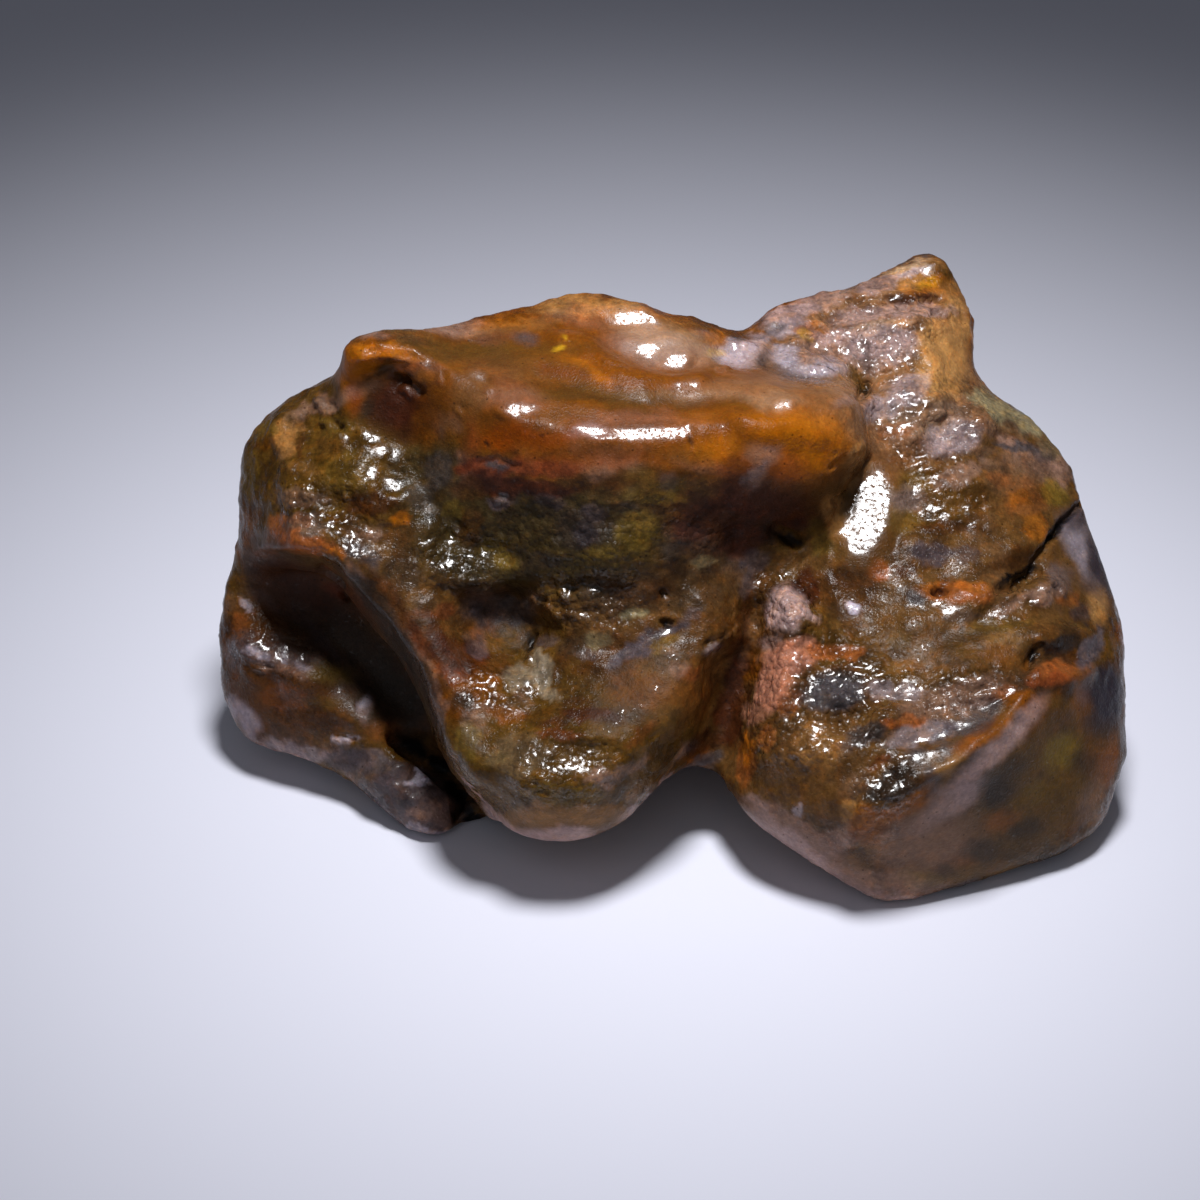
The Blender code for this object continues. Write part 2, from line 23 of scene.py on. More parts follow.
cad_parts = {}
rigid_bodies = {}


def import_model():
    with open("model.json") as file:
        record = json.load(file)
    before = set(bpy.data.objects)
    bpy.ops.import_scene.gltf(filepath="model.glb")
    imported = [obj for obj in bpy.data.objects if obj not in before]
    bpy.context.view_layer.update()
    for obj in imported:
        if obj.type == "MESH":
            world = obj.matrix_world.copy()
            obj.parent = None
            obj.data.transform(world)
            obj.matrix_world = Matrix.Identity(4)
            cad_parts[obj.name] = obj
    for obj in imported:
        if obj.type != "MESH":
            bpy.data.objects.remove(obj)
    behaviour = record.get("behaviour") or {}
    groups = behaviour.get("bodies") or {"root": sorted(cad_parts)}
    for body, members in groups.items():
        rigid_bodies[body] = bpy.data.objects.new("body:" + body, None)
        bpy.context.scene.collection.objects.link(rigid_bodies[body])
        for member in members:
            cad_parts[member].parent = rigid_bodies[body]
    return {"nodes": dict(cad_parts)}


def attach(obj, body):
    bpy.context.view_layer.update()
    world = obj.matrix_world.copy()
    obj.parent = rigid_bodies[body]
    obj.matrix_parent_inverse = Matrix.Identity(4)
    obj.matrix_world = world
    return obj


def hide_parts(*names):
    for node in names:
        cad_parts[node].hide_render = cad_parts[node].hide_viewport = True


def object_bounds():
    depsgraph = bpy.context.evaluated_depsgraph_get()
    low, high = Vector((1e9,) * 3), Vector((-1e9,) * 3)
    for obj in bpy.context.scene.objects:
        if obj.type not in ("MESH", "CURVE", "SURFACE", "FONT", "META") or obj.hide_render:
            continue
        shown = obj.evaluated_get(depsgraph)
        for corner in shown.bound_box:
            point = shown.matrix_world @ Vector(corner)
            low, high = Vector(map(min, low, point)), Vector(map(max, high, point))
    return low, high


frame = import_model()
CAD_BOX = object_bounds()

log = logging.getLogger("agate")

MM = 0.001

Spot = tuple[float, float]
Place = tuple[float, float, float]
Colour = tuple[float, float, float]
Row = tuple[float, ...]
Socket = bpy.types.NodeSocket


# ---------------------------------------------------------------------------------------------
# The viewpoint and the studio
# ---------------------------------------------------------------------------------------------


@dataclass(frozen=True)
class Viewpoint:
    """Where the stone is looked at from, and the square frame that its spots are read in."""

    elevation: float = math.radians(35.0)
    side: float = 1200.0
    spots_per_mm: float = 24.0
    lens: float = 85.0
    sensor: float = 36.0
    aim_mm: tuple[float, float, float] = (-3.045, -3.670, 9.659)

    @property
    def across(self) -> np.ndarray:
        """The direction that runs to the right of the frame."""
        return np.array((1.0, 0.0, 0.0))

    @property
    def up(self) -> np.ndarray:
        """The direction that runs to the top of the frame."""
        return np.array((0.0, math.sin(self.elevation), math.cos(self.elevation)))

    @property
    def out(self) -> np.ndarray:
        """The direction from the stone to the viewpoint."""
        return np.array((0.0, -math.cos(self.elevation), math.sin(self.elevation)))

    @property
    def distance_mm(self) -> float:
        """How far the viewpoint stands from the middle of the frame."""
        return self.side / self.spots_per_mm * self.lens / self.sensor

    @property
    def eye_mm(self) -> np.ndarray:
        """The place of the viewpoint."""
        return np.array(self.aim_mm) + self.out * self.distance_mm

    def spots_of(self, points_mm: np.ndarray) -> np.ndarray:
        """Where points show in the frame.

        Args:
            points_mm: One row for each point.

        Returns:
            One row for each point, of its spot.
        """
        from_aim = points_mm - np.array(self.aim_mm)
        nearness = self.distance_mm / (self.distance_mm - from_aim @ self.out)
        scale = self.spots_per_mm * nearness
        right = self.side / 2 + from_aim @ self.across * scale
        down = self.side / 2 - from_aim @ self.up * scale
        return np.stack((right, down), axis=1)

    def ray_through(self, spot: Spot) -> np.ndarray:
        """The direction from the viewpoint through a spot.

        Args:
            spot: The spot in the frame.

        Returns:
            The direction, one unit long.
        """
        right = (spot[0] - self.side / 2) / self.spots_per_mm
        rise = (self.side / 2 - spot[1]) / self.spots_per_mm
        ray = self.across * right + self.up * rise - self.out * self.distance_mm
        return ray / np.linalg.norm(ray)


@dataclass(frozen=True)
class Lamp:
    """One soft round light of the studio."""

    name: str
    place_mm: Place
    width_mm: float
    power: float
    colour: Colour
    spread: float = math.pi

    def build(self, aim_mm: Place) -> None:
        """Hangs the light and turns it to the stone.

        Args:
            aim_mm: The place that it shines at.
        """
        light = bpy.data.lights.new(self.name, "AREA")
        light.shape = "DISK"
        light.size = self.width_mm * MM
        light.energy = self.power
        light.color = self.colour
        light.spread = self.spread
        lamp = bpy.data.objects.new(self.name, light)
        lamp.location = Vector(self.place_mm) * MM
        lamp.rotation_mode = "QUATERNION"
        away = lamp.location - Vector(aim_mm) * MM
        lamp.rotation_quaternion = away.to_track_quat("Z", "Y")
        lamp.visible_camera = False
        bpy.context.scene.collection.objects.link(lamp)


KEY_SPREAD = math.radians(58.0)
KEY_LAMP = Lamp("key_lamp", (4.0, -16.0, 129.0), 28.0, 0.020, (0.98, 0.98, 1.0), KEY_SPREAD)
FILL_LAMP = Lamp("fill_lamp", (-50.0, -190.0, 165.0), 280.0, 0.060, (0.92, 0.94, 1.0))


@dataclass(frozen=True)
class Studio:
    """The pale floor, the soft lights and the camera."""

    view: Viewpoint
    floor_side_mm: float = 1200.0
    floor_colour: Colour = (0.76, 0.77, 0.87)
    floor_roughness: float = 0.9
    floor_specular: float = 0.2
    sky_colour: Colour = (0.60, 0.62, 0.70)
    sky_strength: float = 0.11
    lamps_aim_mm: Place = (0.0, 0.0, 8.0)
    nearest_mm: float = 10.0

    def build(self) -> None:
        """Sets the whole studio up."""
        self.lay_floor()
        self.open_sky()
        for lamp in (KEY_LAMP, FILL_LAMP):
            lamp.build(self.lamps_aim_mm)
            log.info("lamp %s", lamp.name)
        self.stand_camera()
        bpy.context.scene.view_settings.view_transform = "Standard"

    def lay_floor(self) -> None:
        """Lays the floor, a matt sheet under the stone."""
        bpy.ops.object.select_all(action="DESELECT")
        bpy.ops.mesh.primitive_plane_add(size=self.floor_side_mm * MM)
        floor = bpy.context.object
        floor.name = "floor"
        finish = bpy.data.materials.new("pale_floor")
        finish.use_nodes = True
        shader = finish.node_tree.nodes["Principled BSDF"]
        shader.inputs["Base Color"].default_value = (*self.floor_colour, 1.0)
        shader.inputs["Roughness"].default_value = self.floor_roughness
        shader.inputs["Specular IOR Level"].default_value = self.floor_specular
        floor.data.materials.append(finish)

    def open_sky(self) -> None:
        """Gives the studio its even, slightly cool light."""
        sky = bpy.data.worlds.new("studio_light")
        sky.use_nodes = True
        background = sky.node_tree.nodes["Background"]
        background.inputs["Color"].default_value = (*self.sky_colour, 1.0)
        background.inputs["Strength"].default_value = self.sky_strength
        bpy.context.scene.world = sky

    def stand_camera(self) -> None:
        """Stands the camera at the viewpoint."""
        lens = bpy.data.cameras.new("camera")
        lens.lens = self.view.lens
        lens.sensor_width = self.view.sensor
        lens.clip_start = self.nearest_mm * MM
        camera = bpy.data.objects.new("camera", lens)
        camera.location = Vector(self.view.eye_mm) * MM
        camera.rotation_mode = "QUATERNION"
        camera.rotation_quaternion = Vector(self.view.out).to_track_quat("Z", "Y")
        bpy.context.scene.collection.objects.link(camera)
        bpy.context.scene.camera = camera


# ---------------------------------------------------------------------------------------------
# What the stone's skin shows
# ---------------------------------------------------------------------------------------------


class Form(Enum):
    """The cross section of one carved line."""

    ROLL = "a round ridge"
    GROOVE = "a round valley"
    PIT = "a steep hole with a flat bottom"


@dataclass(frozen=True)
class Stroke:
    """One line carved into the stone's face or raised from it."""

    form: Form
    width: float
    height_mm: float
    line: tuple[Spot, ...]


@dataclass(frozen=True)
class Oval:
    """One oval place on the stone's face, in spots, with its turn from level in degrees."""

    right: float
    down: float
    half_wide: float
    half_high: float
    strength: float = 1.0
    turn: float = 0.0


def ovals(*rows: Row) -> tuple[Oval, ...]:
    """Makes an oval of each row, whose numbers stand in the order of an oval's own."""
    return tuple(Oval(*row) for row in rows)


def flats(*rows: Row) -> tuple[Oval, ...]:
    """Makes the ovals of polished flats, whose rows give no strength.

    Args:
        rows: The numbers of each oval, without its strength.

    Returns:
        The ovals. The higher one is, the harder it is pressed.
    """
    least, more_per_spot = 0.8, 0.004
    return tuple(
        Oval(*row[:4], min(1.0, least + more_per_spot * row[3]), *row[4:]) for row in rows
    )


# Places where the skin is eased before anything is carved.
EASED: tuple[Oval, ...] = ovals(
    (398, 392, 46, 44), (784, 538, 42, 34, 1, 30), (1066, 666, 56, 34, 1, -10),
    (600, 470, 190, 56, 1, 3), (468, 450, 46, 66), (760, 490, 60, 40, 0.8), (1112, 700, 40, 50),
    (860, 480, 30, 40, 0.6, 30),
)

# Hollows that are filled towards the viewpoint. The strength is how far, in millimetres.
FILLED: tuple[Oval, ...] = ovals(
    (600, 555, 160, 66, 1.5, 2), (800, 500, 62, 60, 1.1), (790, 550, 46, 36, 1.3),
    (478, 510, 50, 46, 0.8), (396, 392, 40, 38, 2.3), (416, 382, 18, 16, 0.9),
    (836, 514, 24, 34, 0.7), (716, 650, 28, 22, 0.6, -20), (302, 542, 56, 30, 1.3, 10),
    (345, 562, 26, 24, 0.7, 30), (480, 588, 40, 22, 0.8),
)

# Broad strokes, which go over the smooth skin before it gets its grain.
BROAD_STROKES: dict[str, tuple[Stroke, ...]] = {
    "belly of the brow": (
        Stroke(Form.ROLL, 44, 0.15, ((480, 462), (540, 472), (620, 476), (700, 470), (760, 462))),
        Stroke(Form.ROLL, 26, 0.22, ((500, 416), (560, 434), (640, 438), (700, 434))),
    ),
    "back of the brow": (
        Stroke(Form.GROOVE, 20, 0.30, ((540, 375), (590, 388), (640, 400), (720, 402))),
        Stroke(Form.ROLL, 15, 0.34, ((560, 338), (590, 348), (625, 368), (655, 380), (700, 382))),
        Stroke(Form.GROOVE, 24, 0.60, ((615, 335), (650, 348), (690, 352))),
        Stroke(Form.ROLL, 22, 0.22, ((550, 312), (600, 305), (640, 316))),
        Stroke(Form.ROLL, 24, 0.35, ((745, 425), (800, 430), (850, 450))),
    ),
    "nub": (
        Stroke(Form.ROLL, 18, 0.20, ((350, 404), (347, 380), (356, 358), (385, 351), (415, 354))),
    ),
    "middle": (
        Stroke(Form.GROOVE, 40, 0.35, ((480, 610), (510, 615), (535, 625))),
        Stroke(Form.ROLL, 22, 0.30, ((440, 570), (490, 565), (560, 590), (610, 595))),
        Stroke(Form.GROOVE, 16, 0.20, ((560, 640), (620, 650), (670, 630))),
        Stroke(Form.GROOVE, 30, 0.45, ((725, 660), (728, 700), (722, 750))),
    ),
    "shoulder": (Stroke(Form.ROLL, 30, 0.25, ((285, 498), (318, 514), (346, 538), (360, 562))),),
    "toe": (
        Stroke(Form.GROOVE, 20, 1.10, ((402, 738), (432, 758), (458, 785), (472, 820), (476, 836))),
        Stroke(Form.ROLL, 22, 0.40, ((372, 775), (410, 780), (440, 800))),
    ),
    "right lobe": (
        Stroke(Form.ROLL, 17, 0.24, (
            (850, 838), (866, 812), (884, 800), (920, 777), (962, 756), (1000, 728), (1026, 694),
        )),
    ),
    "eye": (
        Stroke(Form.ROLL, 20, 0.35, ((1046, 676), (1064, 678), (1080, 674))),
        Stroke(Form.ROLL, 16, 0.30, ((1045, 640), (1065, 634), (1085, 640))),
        Stroke(Form.GROOVE, 11, 0.20, ((1026, 668), (1034, 652), (1052, 655), (1075, 658))),
    ),
}

# Fine strokes, which are cut into the grain.
STROKES: dict[str, tuple[Stroke, ...]] = {
    "nub and its hollow": (
        Stroke(Form.GROOVE, 8, 0.12, ((368, 376), (385, 368), (402, 366))),
    ),
    "brow": (
        Stroke(Form.GROOVE, 5, 0.12, ((478, 462), (500, 460), (520, 466))),
        Stroke(Form.GROOVE, 5, 0.10, ((690, 428), (692, 446))),
        Stroke(Form.ROLL, 8, 0.14, ((736, 398), (765, 410), (792, 402))),
        Stroke(Form.PIT, 7, 0.40, ((866, 384), (862, 400))),
        Stroke(Form.GROOVE, 6, 0.35, ((836, 502), (852, 492), (864, 478), (872, 462))),
    ),
    "hollow under the brow": (
        Stroke(Form.PIT, 10, 0.40, ((776, 532), (786, 537), (797, 543))),
        Stroke(Form.PIT, 5, 0.25, ((523, 657), (529, 645), (534, 634))),
        Stroke(Form.PIT, 4, 0.30, ((663, 593), (666, 594))),
        Stroke(Form.PIT, 5, 0.30, ((664, 623), (669, 624))),
        Stroke(Form.ROLL, 5, 0.12, ((528, 652), (535, 676))),
        Stroke(Form.ROLL, 5, 0.14, ((540, 650), (546, 690))),
        Stroke(Form.ROLL, 5, 0.10, ((551, 668), (557, 698))),
    ),
    "horn": (
        Stroke(Form.GROOVE, 7, 0.30, ((842, 306), (870, 299), (905, 298), (938, 303))),
        Stroke(Form.ROLL, 9, 0.14, ((886, 284), (906, 277), (934, 268))),
    ),
    "right slope": (
        Stroke(Form.GROOVE, 6, 0.45, ((1036, 562), (1050, 540), (1062, 522), (1080, 506))),
        Stroke(Form.PIT, 7, 0.50, ((1000, 590), (1018, 582), (1036, 570))),
        Stroke(Form.PIT, 7, 0.45, ((936, 592), (944, 591))),
        Stroke(Form.GROOVE, 6, 0.25, ((1028, 666), (1032, 654), (1042, 645))),
        Stroke(Form.ROLL, 7, 0.18, ((850, 608), (852, 608))),
    ),
    "channel": (
        Stroke(Form.ROLL, 8, 0.16, (
            (262, 546), (300, 544), (340, 556), (362, 586), (394, 618), (424, 662), (440, 712),
            (452, 752),
        )),
        Stroke(Form.PIT, 7, 0.30, ((322, 570), (338, 582), (346, 596))),
    ),
    "right lobe": (
        Stroke(Form.ROLL, 10, 0.08, (
            (858, 818), (884, 800), (920, 777), (962, 756), (1000, 728), (1026, 694),
        )),
    ),
}

# Places where the broad skin leans to face between the viewpoint and the key lamp, so that its
# grain catches the light.
LEANING: tuple[Oval, ...] = ovals(
    (915, 280, 40, 12, 0.5, -20), (872, 306, 48, 14, 0.7, -12), (868, 338, 62, 22, 0.7, -12),
    (905, 366, 34, 22, 0.7), (905, 408, 36, 26, 0.7, -15), (957, 434, 34, 22, 0.7, -20),
    (915, 460, 34, 18, 0.6, -20), (945, 510, 34, 14, 0.5, -10), (738, 354, 28, 15, 0.7),
    (812, 368, 38, 14, 0.8, 5), (325, 515, 42, 22, 0.5, 20), (298, 430, 30, 24, 0.4),
    (575, 600, 52, 17, 0.5, -5), (470, 565, 42, 17, 0.6, -10), (565, 765, 52, 20, 0.8, -8),
    (636, 321, 34, 16, 0.8, 12), (655, 350, 46, 20, 0.8, 8), (765, 398, 44, 14, 0.5, 5),
    (505, 690, 34, 15, 0.5), (275, 650, 36, 16, 0.7, 10), (350, 700, 26, 18, 0.5, 30),
    (420, 782, 28, 14, 0.5), (1020, 602, 44, 14, 0.4, -25),
)

# Flats worn to a glassy polish, which face between the viewpoint and the key lamp.
GLASSY_FLATS: dict[str, tuple[Oval, ...]] = {
    "nub": flats(
        (370, 354, 9, 5, -20), (400, 356, 16, 4, 10), (424, 364, 10, 4, 30), (413, 391, 11, 7, 10),
    ),
    "brow": flats(
        (640, 434, 48, 8, -2), (590, 430, 20, 5, 10), (518, 410, 20, 9), (479, 376, 12, 7, 40),
        (490, 393, 8, 6, 30), (460, 410, 5, 6), (442, 376, 5, 8), (472, 341, 4, 4),
        (748, 396, 5, 5), (782, 406, 15, 9, -28), (835, 455, 6, 3, -20), (833, 468, 4, 3),
        (852, 491, 6, 3, -20),
    ),
    "dish": flats(
        (636, 321, 27, 13, 12), (648, 350, 12, 9), (677, 362, 18, 13, -20), (622, 366, 22, 3, 22),
    ),
    "left shoulder": flats(
        (325, 404, 11, 6, 20), (332, 426, 12, 5, 15), (344, 436, 7, 6), (371, 436, 13, 5, 35),
        (376, 450, 15, 5, 5), (396, 454, 6, 5, 30), (372, 470, 9, 6, 20), (392, 484, 12, 9, 10),
        (308, 487, 8, 4), (348, 494, 6, 4), (300, 503, 9, 4), (325, 506, 14, 5),
        (318, 517, 11, 5, 10), (334, 528, 13, 6, 20), (355, 523, 9, 6), (350, 544, 11, 13, 20),
        (358, 555, 6, 8), (286, 427, 6, 4),
    ),
    "middle": flats(
        (426, 541, 12, 4, -8), (451, 543, 5, 8), (457, 529, 5, 6), (482, 567, 11, 5, -25),
        (470, 577, 14, 4, -5), (446, 563, 10, 6), (500, 498, 7, 5), (557, 540, 7, 4, -10),
        (568, 593, 8, 9), (592, 591, 12, 5, -10), (601, 583, 6, 4), (539, 600, 9, 4, 20),
        (556, 611, 10, 4, 30), (578, 614, 12, 4), (664, 598, 5, 4), (668, 631, 5, 4),
    ),
    "tongue": flats(
        (526, 666, 8, 5, -35), (490, 684, 9, 6), (512, 688, 15, 6), (491, 701, 8, 4),
        (531, 658, 5, 8, -20), (545, 682, 4, 7), (551, 752, 8, 4), (580, 757, 9, 5, -10),
        (548, 771, 8, 5), (602, 771, 8, 4, -10), (561, 781, 9, 4), (565, 760, 13, 6, -10),
        (576, 771, 12, 6, -15), (592, 752, 12, 5, -5), (562, 746, 10, 4), (607, 761, 9, 4),
        (568, 766, 29, 12, -10), (529, 785, 9, 4), (542, 793, 7, 4), (655, 738, 8, 3, -35),
        (712, 645, 9, 6, -20), (726, 635, 7, 3, -20), (736, 627, 5, 4, -20),
    ),
    "left lobe and toe": flats(
        (241, 597, 6, 4, 30), (252, 606, 6, 3, 30), (262, 646, 13, 7, 15), (281, 655, 10, 10),
        (302, 656, 7, 8), (264, 668, 10, 4), (320, 662, 9, 5, 20), (340, 690, 6, 4, 30),
        (366, 705, 8, 9, 30), (345, 739, 10, 4, -5), (416, 775, 6, 9), (428, 785, 10, 4),
        (396, 783, 7, 4),
    ),
    "horn and behind": flats(
        (926, 269, 13, 7, -20), (903, 287, 9, 5, -15), (870, 309, 13, 7, -10), (845, 310, 7, 7),
        (905, 305, 12, 6), (940, 312, 9, 6), (965, 315, 5, 8), (830, 332, 10, 5, 10),
        (816, 326, 8, 5), (855, 340, 8, 5), (740, 350, 9, 9), (720, 370, 10, 5), (905, 362, 8, 5),
    ),
    "right slope": flats(
        (896, 379, 11, 5, -20), (880, 386, 9, 5, -20), (906, 396, 8, 6), (887, 396, 7, 5),
        (900, 410, 9, 6), (880, 421, 7, 5), (901, 433, 7, 4), (936, 412, 9, 5, -10),
        (951, 426, 14, 5, -20), (946, 440, 15, 5, -20), (924, 455, 9, 5, -10),
        (951, 456, 13, 4, -20), (976, 409, 5, 3), (945, 473, 12, 3, -22), (891, 464, 6, 9, -40),
        (901, 479, 6, 5), (913, 490, 7, 4), (935, 510, 11, 3, -10), (942, 517, 14, 3, -10),
        (986, 507, 9, 5), (986, 527, 6, 4), (908, 570, 5, 3), (1040, 590, 11, 4, -30),
        (1021, 600, 8, 6, -30), (1000, 613, 10, 4, -25), (1034, 601, 10, 4, -20),
        (985, 622, 11, 4, -8), (1060, 590, 5, 10), (950, 611, 11, 6, -10), (936, 604, 8, 5),
        (850, 608, 6, 5),
    ),
    "window": flats((868, 514, 28, 54, 16), (841, 533, 7, 6), (852, 548, 7, 6), (846, 512, 5, 4)),
    "right lobe": flats(
        (960, 680, 9, 4), (980, 678, 9, 3), (1001, 678, 7, 3), (985, 691, 13, 6, -10),
        (1010, 691, 8, 4, -30), (1000, 710, 9, 5, -30), (900, 690, 11, 6), (914, 680, 8, 4),
        (905, 697, 11, 5), (838, 668, 8, 4), (812, 690, 5, 5), (850, 700, 7, 4),
        (920, 741, 18, 5, -12), (880, 745, 9, 3), (944, 734, 13, 4, -20), (964, 727, 13, 4, -20),
        (931, 757, 31, 11, -16), (903, 766, 9, 6, -40), (876, 785, 13, 8, -25), (869, 799, 8, 7),
        (895, 785, 7, 6), (801, 750, 7, 8), (806, 761, 6, 6),
    ),
}

ALL_FLATS: tuple[Oval, ...] = sum(GLASSY_FLATS.values(), ())

# Lines that are glossy but neither flat nor carved: the crest of the brow and the nub's lip.
GLOSSY_LINES: tuple[Stroke, ...] = (
    Stroke(Form.ROLL, 6, 0.0, ((588, 346), (610, 360), (640, 373), (680, 380), (712, 384))),
    Stroke(Form.ROLL, 5, 0.0, ((362, 356), (385, 350), (410, 357), (426, 368))),
    Stroke(Form.ROLL, 5, 0.0, ((436, 364), (446, 385), (456, 410))),
)


class Skin(Enum):
    """How the stone's surface is broken up in one zone."""

    GRAINY = "lumps like coarse sand"
    RIPPLED = "short streaks that rise to the right"
    LUMPY = "soft lumps, glossy all over"
    SMOOTH = "worn smooth"
    DULL = "dry, with hardly any shine"


SKIN_ZONES: dict[Skin, tuple[Oval, ...]] = {
    Skin.SMOOTH: ovals(
        (610, 395, 250, 80, 1, 3), (352, 385, 20, 40), (395, 410, 45, 40, 0.9, 20),
        (345, 640, 130, 60, 1, 48), (1010, 790, 150, 75, 0.9, -38), (872, 512, 34, 62, 1, 12),
        (800, 480, 60, 35, 0.8), (640, 700, 60, 45, 0.4), (1085, 560, 30, 60, 0.8, -20),
        (560, 825, 90, 20, 0.8), (244, 715, 28, 40, 0.8, 30), (950, 355, 26, 40, 0.6),
        (800, 850, 90, 24, 0.8, 30),
    ),
    Skin.GRAINY: ovals(
        (820, 700, 95, 70, 1, -15), (788, 608, 38, 44), (815, 375, 45, 18),
        (745, 352, 45, 24, 0.8, -10), (885, 380, 40, 45, 0.9), (868, 332, 90, 40, 0.9, -15),
        (932, 420, 70, 55, 0.9, -10), (945, 500, 60, 34, 0.5), (1020, 595, 50, 24, 0.5, -20),
        (960, 690, 70, 24, 0.7, -10), (880, 790, 36, 30, 0.9, -30), (330, 520, 60, 40, 0.7, 30),
        (590, 600, 60, 35, 0.8), (570, 765, 70, 35, 0.7, -10), (505, 688, 45, 25, 0.8),
        (460, 560, 60, 35, 0.6), (600, 535, 150, 36, 0.5), (280, 650, 60, 30, 0.6, 30),
    ),
    Skin.RIPPLED: ovals(
        (930, 440, 80, 60, 0.6, -15), (950, 510, 60, 30, 0.7, -10), (1010, 600, 70, 35, 0.7, -25),
        (960, 700, 90, 60, 0.6, -20), (700, 640, 50, 30, 0.6, -25),
    ),
    Skin.LUMPY: ovals(
        (340, 460, 110, 80, 1, 20), (560, 560, 160, 80, 0.8), (420, 790, 70, 40, 0.8, 10),
        (880, 310, 100, 50, 0.8, -20), (800, 600, 80, 60, 0.6),
    ),
    Skin.DULL: ovals(
        (560, 500, 150, 50, 0.9, 3), (750, 520, 90, 50, 0.9, 10), (340, 640, 150, 46, 0.9, 48),
        (440, 780, 40, 60, 0.9, -30), (500, 612, 60, 28, 0.8), (730, 700, 40, 80, 0.7, 10),
        (1000, 800, 150, 60, 0.6, -38), (1100, 690, 30, 40, 0.4), (950, 645, 100, 26, 0.6),
        (840, 620, 40, 24, 0.6), (436, 640, 18, 60, 0.9, -36), (655, 690, 55, 50),
        (470, 735, 20, 26, 0.9), (690, 620, 30, 20, 0.6), (615, 715, 40, 26, 0.9, -30),
        (505, 632, 40, 22, 0.9),
    ),
}


class Tint(Enum):
    """The stone's mineral colours and the tints of its painted highlights, sheen and shade, as
    linear red, green and blue.
    """

    BARK = (0.112, 0.051, 0.013)
    OLIVE = (0.092, 0.043, 0.006)
    FERN = (0.155, 0.093, 0.013)
    MOSS = (0.044, 0.027, 0.008)
    AMBER = (0.175, 0.049, 0.002)
    GOLD = (0.420, 0.122, 0.002)
    HONEY = (0.185, 0.036, 0.0005)
    SIENNA = (0.044, 0.010, 0.003)
    SAND = (0.350, 0.160, 0.045)
    # Pale straw, laid mostly as painted highlight and sheen.
    STRAW = (0.560, 0.400, 0.260)
    CLAY = (0.500, 0.250, 0.080)
    RUST = (0.165, 0.036, 0.012)
    BRICK = (0.300, 0.085, 0.018)
    CORAL = (0.440, 0.180, 0.110)
    PLUM = (0.050, 0.012, 0.005)
    UMBER = (0.066, 0.024, 0.006)
    ROSE = (0.290, 0.165, 0.120)
    # Pale pink for the knob and the horn, and painted sheen where the pale floor is reflected in
    # rims.
    BLUSH = (0.420, 0.280, 0.260)
    # Pale pearl for pale grains, and mostly painted highlight and sheen.
    PEARL = (0.450, 0.390, 0.450)
    CREAM = (0.200, 0.150, 0.095)
    LILAC = (0.078, 0.055, 0.058)
    ASH = (0.250, 0.200, 0.105)
    SLATE = (0.062, 0.051, 0.053)
    MIST = (0.110, 0.085, 0.092)
    NAVY = (0.028, 0.022, 0.030)
    SMOKE = (0.028, 0.018, 0.012)
    INK = (0.004, 0.003, 0.003)
    LEMON = (0.500, 0.270, 0.010)
    FAWN = (0.240, 0.115, 0.050)

    def over(self, *rows: Row) -> "Patches":
        """Pairs the tint with the places that it lies over."""
        return self, ovals(*rows)


Patches = tuple[Tint, tuple[Oval, ...]]
